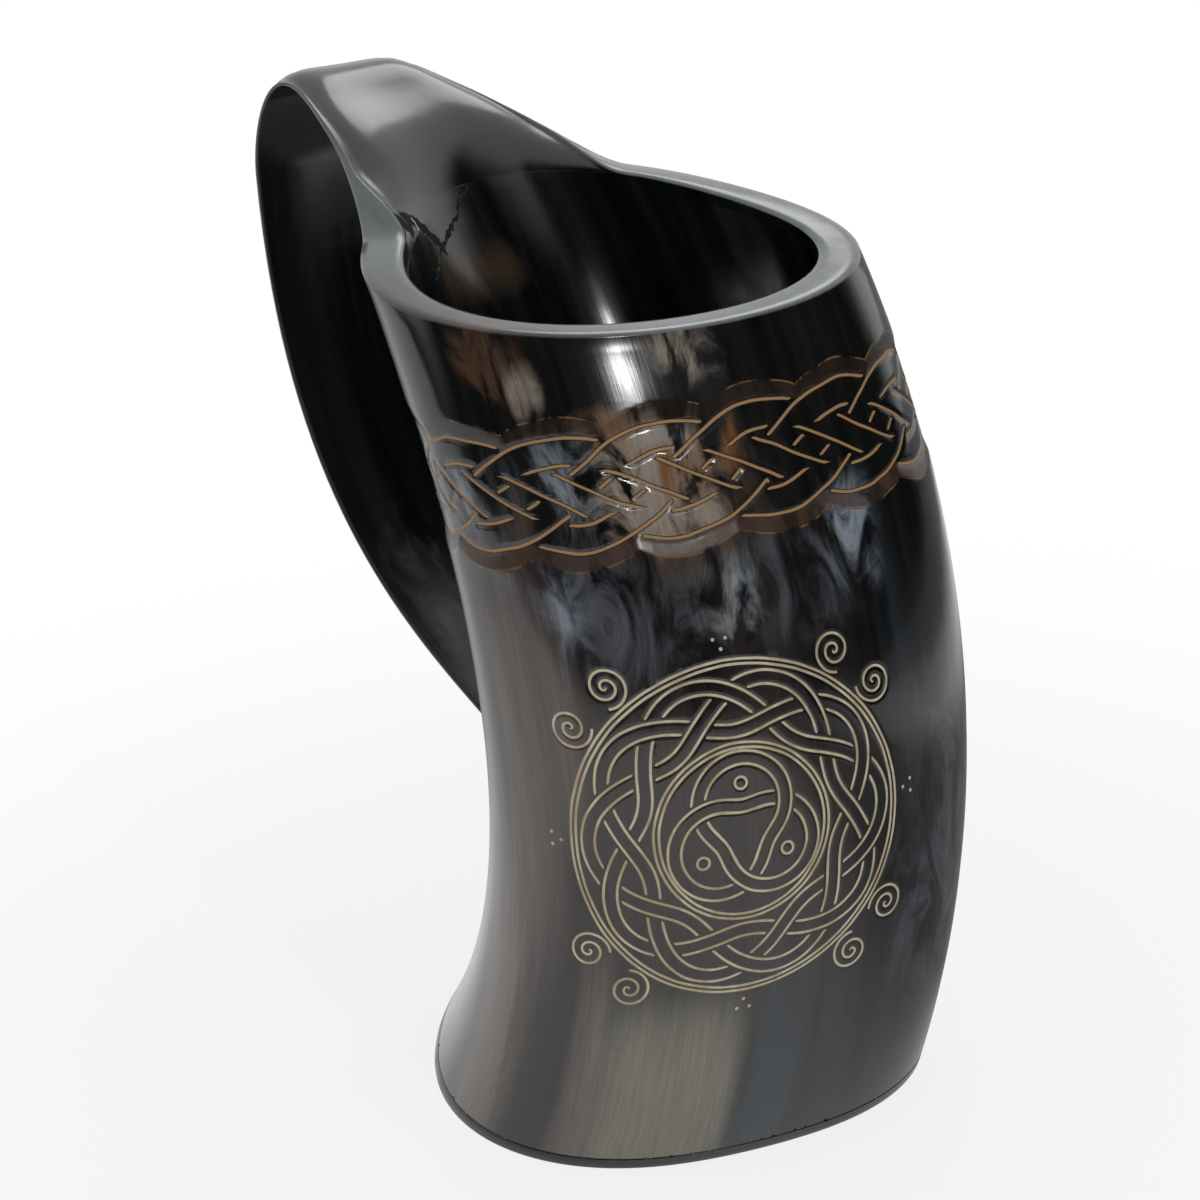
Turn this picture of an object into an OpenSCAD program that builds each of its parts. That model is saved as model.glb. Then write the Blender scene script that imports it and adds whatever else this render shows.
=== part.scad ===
// Horn drinking cup. One length of horn stands on its wide end, which a glued plug closes.
// The handle is the same piece of horn: a strip of the back wall, left long at the rim, is
// bent over a crest and down to the back of the cup, where it is glued.
// The handle is towards -X, and angles round the cup start there and turn towards +Y.

/* [Cup height and lean] */
// Height of the rim at the middle of the cup
rim_h = 150; // [125:1:175]
// How much higher the rim is at the handle than at its middle
rim_rise = 5.5; // [1:0.5:8]
// How much higher the rim is on the +Y side than at its middle
rim_side_rise = 1.5; // [0:0.5:3]
// How far the cup lies forward of its base, a third of the way up
lower_lean = 15.5; // [11:0.5:19]
// How far the cup lies forward of its base, two thirds of the way up
upper_lean = 10; // [6:0.5:14]
// How far the cup lies back over its base, at the rim
rim_lean = 15.5; // [11:0.5:20]
// How far the cup has moved to the +Y side, at the rim
side_lean = 6.5; // [2:0.5:9]

/* [Cup section] */
// Half the length of the cup at its base, handle side to front
base_half_l = 46.5; // [42:0.5:51]
// Half the length of the cup a third of the way up
lower_half_l = 39; // [35:0.5:43]
// Half the length of the cup two thirds of the way up
upper_half_l = 37; // [33:0.5:41]
// Half the length of the cup at the rim
rim_half_l = 39.5; // [35:0.5:43]
// Half the width of the cup at its base
base_half_w = 44; // [40:0.5:48]
// Half the width of the cup a third of the way up
lower_half_w = 43.5; // [40:0.5:47]
// Half the width of the cup two thirds of the way up
upper_half_w = 44.5; // [41:0.5:48]
// Half the width of the cup at the rim
rim_half_w = 43; // [40:0.5:47]
// Thickness of the horn at the base
base_wall = 4.5; // [3.5:0.1:6]
// Thickness of the horn at the rim
rim_wall = 7.5; // [6:0.1:9]
// Height of the bevel round the outer edge of the rim
edge_bevel = 0.7; // [0.3:0.1:1.2]

/* [Handle] */
// Half the angle round the rim that the root of the handle takes
root_angle = 52; // [47:1:57]
// How far the handle stands towards -Y of its root, from the crest on
handle_drift = 1; // [0:0.5:3]
// Size of the curve from the rim up into the edge of the handle
root_fillet = 13.5; // [9:0.5:18]
// Half the width of the handle just above its root
neck_half_w = 24.5; // [21:0.5:27]
// Half the width of the handle at its crest
crest_half_w = 13.5; // [11:0.5:17]
// Half the width of the handle where the fingers hold it
grip_half_w = 14; // [11:0.5:17]
// Half the width of the handle at its lower end
tail_half_w = 11; // [8:0.5:13]
// Thickness of the handle
handle_t = 3; // [2.5:0.1:4]
// Length over which the rim's wall thins to the handle
thinning_len = 22; // [16:1:28]
// Height of the crest, on the underside of the handle
crest_h = 171; // [166:0.5:180]
// How far the crest is behind the middle of the base
crest_back = 85.5; // [80:0.5:90]
// How far the back of the grip is behind the middle of the base
grip_back = 96; // [92:0.5:105]
// Height at which the handle is furthest back
grip_h = 153.5; // [145:0.5:160]
// Height at which the handle's lower end meets the cup
tail_h = 47; // [38:1:60]
// Slant of the lower end, from upright
tail_slant = 40; // [34:1:48]
// Thickness of the glue between the lower end and the cup
tail_glue_t = 0.6; // [0.4:0.1:0.9]
// How far that glue spreads past the end of the handle
tail_glue_spread = 0.8; // [0.4:0.1:1.5]

/* [Base and inside] */
// Thickness of the base plate that shows under the horn
plate_t = 2.2; // [1.5:0.1:3.5]
// Height of the top of the plug
plug_h = 9; // [6:0.5:12]
// Gap between the plug and the inside of the horn
plug_gap = 0.15; // [0.1:0.05:0.3]
// Thickness of the glue between the plate and the horn
base_glue_t = 0.25; // [0.1:0.05:0.4]
// Thickness of the resin poured over the plug
seal_t = 1.5; // [1:0.1:3]
// How far that resin climbs the wall
seal_climb = 3; // [2:0.5:5]
// Width of the curve in that resin next to the wall
seal_curve_w = 4; // [2.5:0.5:6]
// Thickness of the clear lining
lining_t = 0.3; // [0.2:0.05:0.5]
// How far below the rim the lining stops
lining_drop = 2.5; // [1.5:0.5:5]

/* [Hidden] */

// Clearance between pieces that lie against the same curved wall
fit_gap = 0.12;

// How the section departs from an oval, as shares of its half length and half width
skew_share = -0.015;
egg_share = 0.035;
lobe_share = 0.05;
// How late the sideways lean comes, as a power of the height
side_lean_power = 1.5;
// How much of the cup's own curve across the handle is left past the crest
trough_share = 0.2;
// Share of the way to the crest after which the handle is square to its path
square_share = 0.77;
// Length over which the slope of the rim fades into the handle, in root fillets
rim_slope_fade_share = 1.5;
// Place of the bevel's edge on the thickness of the wall
bevel_place_share = 0.27;
// Pull of the handle's path as it leaves and reaches each point, as shares of the distance
rise_pull_shares = [0.1, 0.27];
crest_pull_shares = [0.33, 0.33];
drop_pull_shares = [0.65, 0.15];
// Heights of the shoulder of the resin's curve and of its foot
seal_curve_shares = [0.35, 0.1];

// Numbers of rows and columns in the surfaces
root_half_cols = 9;
rim_cols = 42;
cup_rows = 18;
rise_rows = 13;
crest_rows = 8;
drop_rows = 18;
tail_tries = 8;
// Rows crowd towards the rim at the root of the handle
rise_crowding = 1.6;

root_cols = 2 * root_half_cols;
cols = root_cols + rim_cols;
horn_bottom = plate_t + base_glue_t;
col_angles = [
    for (j = [0 : cols - 1])
        j <= root_cols
            ? root_angle * (j / root_half_cols - 1)
            : root_angle + (360 - 2 * root_angle) * (j - root_cols) / rim_cols
];

function mix(a, b, t) = a + (b - a) * t;
function limit(t) = min(1, max(0, t));
function ease(t) = let (c = limit(t)) c * c * (3 - 2 * c);

// Cubic through four values at 0, a third, two thirds and 1
function along(p, t) =
    let (a = 3 * t)
    -p[0] * (a - 1) * (a - 2) * (a - 3) / 6
    + p[1] * a * (a - 2) * (a - 3) / 2
    - p[2] * a * (a - 1) * (a - 3) / 2
    + p[3] * a * (a - 1) * (a - 2) / 6;

// Curve of four points
function bend(p, t) =
    pow(1 - t, 3) * p[0] + 3 * pow(1 - t, 2) * t * p[1] + 3 * (1 - t) * t * t * p[2] + pow(t, 3) * p[3];

// Section of the cup at height z
function lean(z) = along([0, lower_lean, upper_lean, -rim_lean], z / rim_h);
function side(z) = side_lean * pow(z / rim_h, side_lean_power);
function half_l(z) = along([base_half_l, lower_half_l, upper_half_l, rim_half_l], z / rim_h);
function half_w(z) = along([base_half_w, lower_half_w, upper_half_w, rim_half_w], z / rim_h);
function wall(z) = mix(base_wall, rim_wall, z / rim_h);
function roundness(u) = 1 + skew_share * sin(2 * u) + egg_share * cos(3 * u) + lobe_share * sin(3 * u);

// Point at angle u and height z, some way in from the outer surface
function cup_at(u, z, inset) = [
    lean(z) - (half_l(z) * roundness(u) - inset) * cos(u),
    side(z) + (half_w(z) * roundness(u) - inset) * sin(u),
    z
];
function rim_at(u) = rim_h + rim_rise * cos(u) + rim_side_rise * sin(u);
function ring(inset, z) = [for (u = col_angles) cup_at(u, z, inset)];

// Back of the cup at sideways place y and height z, found by closing in on its angle
function back_angle(y, z, u, tries) =
    tries == 0 ? u : back_angle(y, z, asin((y - side(z)) / (half_w(z) * roundness(u))), tries - 1);
function back_x(y, z) = cup_at(back_angle(y, z, 0, tail_tries), z, 0).x;

// Path of the handle, in X and Z, along the face that is the outside of the horn
root_h = rim_at(0);
root_w = half_w(root_h) * sin(root_angle);
handle_wall_w = half_w(root_h);
handle_wall_l = half_l(root_h);
root_back = cup_at(0, root_h, 0);
root_below = cup_at(0, root_h - edge_bevel, 0);
root_rise = [root_back.x - root_below.x, root_back.z - root_below.z];
root_dir = root_rise / norm(root_rise);
tail_dir = [sin(tail_slant), -cos(tail_slant)];
tail_y = side(root_h) - handle_drift;
root_pt = [root_back.x, root_h];
crest_pt = [-crest_back, crest_h];
grip_pt = [-grip_back, grip_h];
tail_pt = [back_x(tail_y, tail_h) - tail_glue_t, tail_h];
rise_len = norm(crest_pt - root_pt);
crest_len = norm(grip_pt - crest_pt);
drop_len = norm(tail_pt - grip_pt);
rise_curve = [
    root_pt,
    root_pt + root_dir * rise_len * rise_pull_shares[0],
    crest_pt + [rise_len * rise_pull_shares[1], 0],
    crest_pt
];
crest_curve = [
    crest_pt,
    crest_pt - [crest_len * crest_pull_shares[0], 0],
    grip_pt + [0, crest_len * crest_pull_shares[1]],
    grip_pt
];
drop_curve = [
    grip_pt,
    grip_pt - [0, drop_len * drop_pull_shares[0]],
    tail_pt - tail_dir * drop_len * drop_pull_shares[1],
    tail_pt
];
// Stages 0 to 1 rise to the crest, 1 to 2 turn over it and 2 to 3 drop to the cup
function path(s) =
    s <= 1 ? bend(rise_curve, s) : s <= 2 ? bend(crest_curve, s - 1) : bend(drop_curve, s - 2);
stages = concat(
    [for (i = [0 : rise_rows]) pow(i / rise_rows, rise_crowding)],
    [for (i = [1 : crest_rows]) 1 + i / crest_rows],
    [for (i = [1 : drop_rows]) 2 + i / drop_rows]
);
last_row = len(stages) - 1;
path_pts = [for (s = stages) path(s)];
// Length of the path up to each row
function lengths(i, sum) =
    i > last_row ? [] : concat([sum], lengths(i + 1, i == last_row ? sum : sum + norm(path_pts[i + 1] - path_pts[i])));
row_lens = lengths(0, 0);

// Direction along the path, and square to it towards the inside of the horn
function heading(i) =
    i == last_row ? tail_dir
    : i == 0 ? root_dir
    : let (d = path_pts[i + 1] - path_pts[i - 1]) d / norm(d);
function squared(i) =
    let (d = heading(i), t = ease(stages[i] / square_share), m = mix([1, 0], [d.y, -d.x], t)) m / norm(m);

function row_half_w(i) =
    let (
        s = stages[i],
        left = limit(1 - row_lens[i] / root_fillet),
        fillet = (root_w - neck_half_w) * (1 - sqrt(1 - left * left))
    )
    mix(neck_half_w, crest_half_w, ease(s))
    + (grip_half_w - crest_half_w) * ease(s - 1)
    + (tail_half_w - grip_half_w) * ease(s - 2)
    + fillet;

// Point of the handle in row i and column k, on the outside or the inside of the horn
function handle_at(i, k, inside) =
    let (
        m = squared(i),
        u = asin(row_half_w(i) / handle_wall_w) * (k / root_half_cols - 1),
        r = roundness(u),
        middle_y = side(root_h) - handle_drift * ease(stages[i]),
        trough = mix(1, trough_share, ease(stages[i])),
        depth = handle_wall_l * (roundness(0) - r * cos(u)) * trough,
        t = inside * mix(wall(root_h), handle_t, ease(row_lens[i] / thinning_len)),
        out = depth + t * cos(u * trough),
        slope = (rim_at(u) - root_h) * limit(1 - row_lens[i] / (rim_slope_fade_share * root_fillet))
    )
    [
        path_pts[i].x + m.x * out + slope * root_dir.x / root_dir.y,
        middle_y + handle_wall_w * r * sin(u) - t * sin(u * trough),
        path_pts[i].y + m.y * out + slope
    ];

// How far a point of the last row goes on before it is a glue's thickness from the cup
function reach(p, run, tries) =
    tries == 0 ? run
    : reach(p, (back_x(p.y, p.z + run * tail_dir.y) - tail_glue_t - p.x) / tail_dir.x, tries - 1);
function tail_at(k, inside) =
    let (p = handle_at(last_row, k, inside), run = reach(p, 0, tail_tries))
    p + [run * tail_dir.x, 0, run * tail_dir.y];
function handle_row(i, inside) =
    [for (k = [0 : root_cols]) i == last_row ? tail_at(k, inside) : handle_at(i, k, inside)];

// Two triangles from four corners
function pair(a, b, c, d) = [[a, b, c], [a, c, d]];
function flat(lists) = [for (list = lists) each list];

// Rows of the cup from the bottom to the rim, each a closed ring
function cup_row(i, inside) = [
    for (u = col_angles)
        let (
            top = rim_at(u) - (1 - inside) * edge_bevel,
            z = mix(horn_bottom, top, i / cup_rows)
        )
        cup_at(u, z, inside * wall(z))
];

module horn_body() {
    sheet_size = (cup_rows + 1) * cols + last_row * (root_cols + 1);
    sheets = flat([
        for (inside = [0, 1]) concat(
            flat([for (i = [0 : cup_rows]) cup_row(i, inside)]),
            flat([for (i = [1 : last_row]) handle_row(i, inside)])
        )
    ]);
    function cup_id(i, j, inside) = inside * sheet_size + i * cols + j % cols;
    function handle_id(i, k, inside) =
        i == 0
            ? cup_id(cup_rows, k, inside)
            : inside * sheet_size + (cup_rows + 1) * cols + (i - 1) * (root_cols + 1) + k;

    // The free edge: up one side of the handle, round the rim and down the other side
    edge = concat(
        [for (i = [last_row : -1 : 0]) [handle_id(i, 0, 0), handle_id(i, 0, 1)]],
        [for (j = [cols - 1 : -1 : root_cols + 1]) [cup_id(cup_rows, j, 0), cup_id(cup_rows, j, 1)]],
        [for (i = [0 : last_row]) [handle_id(i, root_cols, 0), handle_id(i, root_cols, 1)]]
    );
    last_edge = len(edge) - 1;
    // Corner of the bevel on that edge
    edge_corners = [
        for (n = [0 : last_edge])
            let (
                outer = sheets[edge[n][0]],
                inner = sheets[edge[n][1]],
                run = sheets[edge[min(n + 1, last_edge)][0]] - sheets[edge[max(n - 1, 0)][0]],
                across = cross(run, inner - outer),
                proud = edge_bevel * (1 - bevel_place_share) * (n == 0 || n == last_edge ? 0 : 1)
            )
            mix(outer, inner, bevel_place_share) + proud * across / norm(across)
    ];
    corner_id = len(sheets);

    cup_faces = flat([
        for (i = [0 : cup_rows - 1], j = [0 : cols - 1]) concat(
            pair(cup_id(i, j, 0), cup_id(i, j + 1, 0), cup_id(i + 1, j + 1, 0), cup_id(i + 1, j, 0)),
            pair(cup_id(i, j, 1), cup_id(i + 1, j, 1), cup_id(i + 1, j + 1, 1), cup_id(i, j + 1, 1))
        )
    ]);
    handle_faces = flat([
        for (i = [0 : last_row - 1], k = [0 : root_cols - 1]) concat(
            pair(handle_id(i, k, 0), handle_id(i, k + 1, 0), handle_id(i + 1, k + 1, 0), handle_id(i + 1, k, 0)),
            pair(handle_id(i, k, 1), handle_id(i + 1, k, 1), handle_id(i + 1, k + 1, 1), handle_id(i, k + 1, 1))
        )
    ]);
    bottom_faces = flat([
        for (j = [0 : cols - 1])
            pair(cup_id(0, j, 0), cup_id(0, j, 1), cup_id(0, j + 1, 1), cup_id(0, j + 1, 0))
    ]);
    edge_faces = flat([
        for (n = [0 : last_edge - 1]) concat(
            pair(edge[n + 1][0], edge[n][0], corner_id + n, corner_id + n + 1),
            pair(corner_id + n + 1, corner_id + n, edge[n][1], edge[n + 1][1])
        )
    ]);
    tail_faces = concat(
        flat([
            for (k = [0 : root_cols - 1])
                pair(
                    handle_id(last_row, k, 0), handle_id(last_row, k + 1, 0),
                    handle_id(last_row, k + 1, 1), handle_id(last_row, k, 1)
                )
        ]),
        [
            [handle_id(last_row, 0, 0), handle_id(last_row, 0, 1), corner_id],
            [handle_id(last_row, root_cols, 1), handle_id(last_row, root_cols, 0), corner_id + last_edge]
        ]
    );
    color([0.17, 0.17, 0.17])
        polyhedron(
            concat(sheets, edge_corners),
            concat(cup_faces, handle_faces, bottom_faces, edge_faces, tail_faces),
            convexity = 10
        );
}

// Solid of equal rings, each joined to the next, with the last joined to the first
module ring_solid(rings) {
    last = len(rings) - 1;
    function id(i, j) = i * cols + j % cols;
    polyhedron(
        flat(rings),
        flat([
            for (i = [0 : last], j = [0 : cols - 1])
                let (next = i == last ? 0 : i + 1)
                pair(id(i, j), id(i, j + 1), id(next, j + 1), id(next, j))
        ]),
        convexity = 6
    );
}

// Solid of equal rings, with a flat face over the first and the last
module capped_solid(rings) {
    last = len(rings) - 1;
    function id(i, j) = i * cols + j % cols;
    polyhedron(
        flat(rings),
        concat(
            flat([
                for (i = [0 : last - 1], j = [0 : cols - 1])
                    pair(id(i, j), id(i, j + 1), id(i + 1, j + 1), id(i + 1, j))
            ]),
            [[for (j = [cols - 1 : -1 : 0]) id(0, j)], [for (j = [0 : cols - 1]) id(last, j)]]
        ),
        convexity = 4
    );
}

// Plate that shows as a dark rim under the horn, with the spigot that fills the horn's bore
module base_plug() {
    color([0.1, 0.09, 0.09])
        capped_solid([
            ring(0, 0),
            ring(0, plate_t),
            ring(wall(plate_t) + plug_gap, plate_t),
            ring(wall(plug_h) + plug_gap, plug_h)
        ]);
}

// Glue between the plate and the cut end of the horn
module base_glue() {
    color([0.75, 0.72, 0.6])
        ring_solid([
            ring(wall(plate_t) + plug_gap - fit_gap, plate_t),
            ring(0, plate_t),
            ring(0, horn_bottom),
            ring(wall(plate_t) + plug_gap - fit_gap, horn_bottom)
        ]);
}

// Resin poured over the plug, drawn up a little at the wall
module floor_seal() {
    top = plug_h + seal_t;
    shoulder = mix(top, top + seal_climb, seal_curve_shares[0]);
    foot = mix(top, top + seal_climb, seal_curve_shares[1]);
    color([0.3, 0.27, 0.22])
        capped_solid([
            ring(wall(plug_h) + fit_gap, plug_h),
            ring(wall(top + seal_climb) + fit_gap, top + seal_climb),
            ring(wall(top) + seal_curve_w * seal_curve_shares[0], shoulder),
            ring(wall(top) + seal_curve_w / 2, foot),
            ring(wall(top) + seal_curve_w, top)
        ]);
}

// Clear coat on the inside of the horn, from the resin up to just under the rim
module clear_lining() {
    bottom = plug_h + seal_t + seal_climb + fit_gap;
    first = ceil(cup_rows * (bottom - horn_bottom) / (rim_h - rim_rise - horn_bottom));
    function lining_row(i, inset) = [
        for (u = col_angles)
            let (
                share = i < cup_rows ? i / cup_rows : 1 - lining_drop / rim_h,
                z = i < first ? bottom : mix(horn_bottom, rim_at(u), share)
            )
            cup_at(u, z, wall(z) + inset)
    ];
    color([0.85, 0.8, 0.65])
        ring_solid(concat(
            [for (i = [first - 1 : cup_rows]) lining_row(i, fit_gap)],
            [for (i = [cup_rows : -1 : first - 1]) lining_row(i, fit_gap + lining_t)]
        ));
}

// Pad of glue between the lower end of the handle and the back of the cup
module tail_glue() {
    half_w_pad = tail_half_w + tail_glue_spread;
    high = tail_h + tail_glue_spread;
    low = tail_at(root_half_cols, 1).z - tail_glue_spread;
    function pad_row(z, out) = [
        for (k = [0 : root_cols])
            let (y = tail_y + half_w_pad * (k / root_half_cols - 1))
            [back_x(y, z) - out, y, z]
    ];
    row_len = root_cols + 1;
    far = tail_glue_t - fit_gap;
    rows = [pad_row(low, far), pad_row(high, far), pad_row(high, fit_gap), pad_row(low, fit_gap)];
    function id(i, k) = (i % len(rows)) * row_len + k;
    color([0.8, 0.76, 0.62])
        polyhedron(
            flat(rows),
            concat(
                flat([
                    for (i = [0 : len(rows) - 1], k = [0 : root_cols - 1])
                        pair(id(i, k), id(i, k + 1), id(i + 1, k + 1), id(i + 1, k))
                ]),
                [[for (i = [0 : len(rows) - 1]) id(i, 0)], [for (i = [len(rows) - 1 : -1 : 0]) id(i, root_cols)]]
            ),
            convexity = 4
        );
}

horn_body();
base_plug();
base_glue();
floor_seal();
clear_lining();
tail_glue();
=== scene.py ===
import math

import bmesh
import bpy
import numpy as np
from mathutils import Matrix, Vector


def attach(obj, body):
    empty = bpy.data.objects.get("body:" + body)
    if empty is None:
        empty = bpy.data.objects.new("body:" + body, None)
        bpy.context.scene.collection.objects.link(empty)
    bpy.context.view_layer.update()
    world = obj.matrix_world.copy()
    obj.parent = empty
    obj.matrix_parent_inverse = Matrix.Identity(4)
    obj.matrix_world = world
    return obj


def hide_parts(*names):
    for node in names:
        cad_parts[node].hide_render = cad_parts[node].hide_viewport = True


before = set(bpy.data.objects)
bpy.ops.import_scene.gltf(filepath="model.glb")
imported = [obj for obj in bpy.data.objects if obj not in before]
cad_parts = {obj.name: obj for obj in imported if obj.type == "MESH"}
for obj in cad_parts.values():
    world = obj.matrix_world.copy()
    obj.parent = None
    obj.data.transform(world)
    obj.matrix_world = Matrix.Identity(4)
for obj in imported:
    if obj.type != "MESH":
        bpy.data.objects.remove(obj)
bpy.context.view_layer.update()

MM = 0.001

# Cup: heights, leans and half sizes at the base, a third and two thirds of the way up, and the rim
RIM_H = 150.0
RIM_RISE = 5.5
RIM_SIDE_RISE = 1.5
LEANS = (0.0, 15.5, 10.0, -15.5)
SIDE_LEAN = 6.5
SIDE_LEAN_POWER = 1.5
HALF_L = (46.5, 39.0, 37.0, 39.5)
HALF_W = (44.0, 43.5, 44.5, 43.0)
WALLS = (4.5, 7.5)
EDGE_BEVEL = 0.7
EDGE_ROUND_SHARE = 0.3
EDGE_TURNS = (12, 25, 40, 56, 73, 90)
SKEW, EGG, LOBE = -0.015, 0.035, 0.05

# Handle. Pulls are the parts of each stage's length by which its curve follows its end directions.
ROOT_ANGLE = 52.0
HANDLE_DRIFT = 1.0
ROOT_FILLET = 13.5
NECK_W, CREST_W, GRIP_W, TAIL_W = 24.5, 13.5, 14.0, 11.0
HANDLE_T = 3.0
THINNING = 22.0
CREST = (-85.5, 171.0)
GRIP = (-96.0, 153.5)
TAIL_H = 47.0
TAIL_SLANT = 40.0
RISE_PULLS, TURN_PULLS, DROP_PULLS = (0.1, 0.27), (0.33, 0.33), (0.65, 0.15)
STAGE_ROWS = (28, 16, 42)
ROOT_CROWDING = 1.6
TAIL_GLUE_T = 0.6
PAD_SPREAD, PAD_SQUARENESS, PAD_THINNING = 0.8, 0.45, 0.8
TROUGH = 0.2
EDGE_THINNING = 0.7
EDGE_THINNING_RUN = 7.0
EDGE_THINNING_POWER = 5
SQUARE_SHARE = 0.77
RIM_SLOPE_FADE = 1.5

# Base and inside
PLATE_T = 2.2
PLATE_BEVEL = 0.25
PLUG_H = 9.0
PLUG_GAP = 0.15
GLUE_T = 0.25
GLUE_SET_BACK = 0.12
SEAL_T = 1.5
SEAL_CLIMB = 3.0
SEAL_CURVE_W, SEAL_CURVE_POWER = 4.0, 2.2
LINING_T = 0.3
LINING_DROP = 2.5
LINING_LEAST, LINING_FADE = 0.03, 0.12
FIT_GAP = 0.12
HORN_BOTTOM = PLATE_T + GLUE_T

# Keeps the meshes just inside the solids that they stand for
SKIN = 0.03

# Cells of the horn's surface, about 2.4 mm each, and how many times a carved cell is split.
# Places are counted in parts of a cell that both splits divide.
ROOT_COLS = 32
FREE_COLS = 78
COLS = ROOT_COLS + FREE_COLS
CUP_ROWS = 62
INNER_ROWS = 31
CELL = 40
BRAID_SPLIT = 5
MEDAL_SPLIT = 8
CELL_REACH = 1.7
RING_COLS = 240
WALL_MM_PER_DEGREE = 0.61
GRAIN_RADIUS = 42.0
SHARP_ANGLE, HORN_SHARP_ANGLE = 50, 62

# Braid carved below the rim: four ropes that pass over and under each other, with a cut along each
# edge that shows, inside a scalloped border. Depths are below the horn's surface. A wander is the size
# and the amount of a hand's unsteadiness.
BRAID_H = 121.3
BRAID_TILT = (-2.4, 0.8)
BRAID_STRETCH = 1.08
BRAID_REPEATS = 15
BRAID_START = 238.2
BRAID_ROPES = 4
ROPE_SWING = 7.0
ROPE_HALF_W = 2.2
ROPE_CLEAR, ROPE_TAPER = 0.4, 0.8
SCALLOP_LOW, SCALLOP_DEEP, SCALLOP_POWER = 9.9, 2.4, 0.8
FACET_FROM = 5.6
BRAID_DEPTH = 0.45
CUT_HALF_W = 0.3
CUT_DEPTH = 0.3
CUT_FADE_END = 0.35
BEVEL_ROUND, BEVEL_FULL = 0.25, 0.85
BRAID_WANDER = (9.0, 1.1)

# Engraved medallion on the front: a ring of three ropes round a knot of two, with circles and curls.
# Its own lengths are multiplied by the scale. No cell past its half angle is carved for it.
MEDAL_ANGLE = 213.0
MEDAL_H = 66.0
MEDAL_SCALE = 0.95
MEDAL_HALF_ANGLE = 75
RING = {"ropes": 3, "loops": 10, "radius": 22.9, "swing": 4.6, "half_w": 1.2}
HEART = {"ropes": 2, "loops": 3, "radius": 9.2, "swing": 4.3, "half_w": 1.15}
CIRCLES = (15.2, 16.1, 29.7, 30.6)
CURL_ANGLE, CURL_REACH = 36.5, 35.1
CURL_RADIUS, CURL_GAP, CURL_START = 3.7, 1.75, 0.4
BUD_REACH, BUD_RADIUS = 9.0, 1.1
DOTS = ((32.6, 0.0), (34.4, 1.15))
DOT_RADIUS = 0.32
LINE_HALF_W = 0.23
LINE_CLEAR, LINE_TAPER = 0.2, 0.7
LINE_DEPTH = 0.12
LINE_FADE = (-0.1, 0.25)
LINE_WANDER = (7.0, 0.3)


def mix(a, b, t):
    return a + (b - a) * t


def ease(t):
    t = np.clip(t, 0.0, 1.0)
    return t * t * (3.0 - 2.0 * t)


def cos_d(u):
    return np.cos(np.radians(u))


def sin_d(u):
    return np.sin(np.radians(u))


def along(p, t):
    """Cubic through four values at 0, a third, two thirds and 1."""
    a = 3.0 * t
    return (-p[0] * (a - 1) * (a - 2) * (a - 3) / 6 + p[1] * a * (a - 2) * (a - 3) / 2
            - p[2] * a * (a - 1) * (a - 3) / 2 + p[3] * a * (a - 1) * (a - 2) / 6)


def bend(p, t):
    """Curve of four points."""
    p = np.asarray(p, float)
    t = np.asarray(t, float)[..., None]
    return (1 - t) ** 3 * p[0] + 3 * (1 - t) ** 2 * t * p[1] + 3 * (1 - t) * t * t * p[2] + t ** 3 * p[3]


def line_lengths(points):
    """Length of a line up to each of its points."""
    return np.concatenate([[0.0], np.cumsum(np.linalg.norm(np.diff(points, axis=0), axis=1))])


# Shape of the cup


def lean(z):
    return along(LEANS, z / RIM_H)


def side(z):
    return SIDE_LEAN * np.maximum(z / RIM_H, 0.0) ** SIDE_LEAN_POWER


def half_l(z):
    return along(HALF_L, z / RIM_H)


def half_w(z):
    return along(HALF_W, z / RIM_H)


def wall(z):
    return mix(WALLS[0], WALLS[1], z / RIM_H)


def roundness(u):
    return 1 + SKEW * sin_d(2 * u) + EGG * cos_d(3 * u) + LOBE * sin_d(3 * u)


def cup_at(u, z, inset=0.0):
    """Point of the cup at an angle and a height, this far inside its outer surface."""
    u, z = np.broadcast_arrays(np.asarray(u, float), np.asarray(z, float))
    x = lean(z) - (half_l(z) * roundness(u) - inset) * cos_d(u)
    y = side(z) + (half_w(z) * roundness(u) - inset) * sin_d(u)
    return np.stack([x, y, z], -1)


def rim_at(u):
    return RIM_H + RIM_RISE * cos_d(u) + RIM_SIDE_RISE * sin_d(u)


def back_x(y, z):
    """X of the back of the cup at a place Y and a height."""
    u = np.zeros(np.broadcast(y, z).shape)
    for _ in range(10):
        u = np.degrees(np.arcsin((y - side(z)) / (half_w(z) * roundness(u))))
    return cup_at(u, z)[..., 0]


def cup_normal(u, z):
    """Unit vector out of the cup's outer surface."""
    across = cup_at(u + 0.05, z) - cup_at(u - 0.05, z)
    upward = cup_at(u, z + 0.05) - cup_at(u, z - 0.05)
    out = np.cross(upward, across)
    return out / np.linalg.norm(out, axis=-1, keepdims=True)


# Shape of the handle

ROOT_H = float(rim_at(0.0))
ROOT_BACK = cup_at(0.0, ROOT_H - EDGE_BEVEL)
ROOT_RISE = (cup_at(0.0, ROOT_H) - ROOT_BACK)[[0, 2]]
ROOT_DIR = ROOT_RISE / np.linalg.norm(ROOT_RISE)
TAIL_DIR = np.array([sin_d(TAIL_SLANT), -cos_d(TAIL_SLANT)])
TAIL_Y = float(side(ROOT_H)) - HANDLE_DRIFT
WALL_W, WALL_L = float(half_w(ROOT_H)), float(half_l(ROOT_H))


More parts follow.
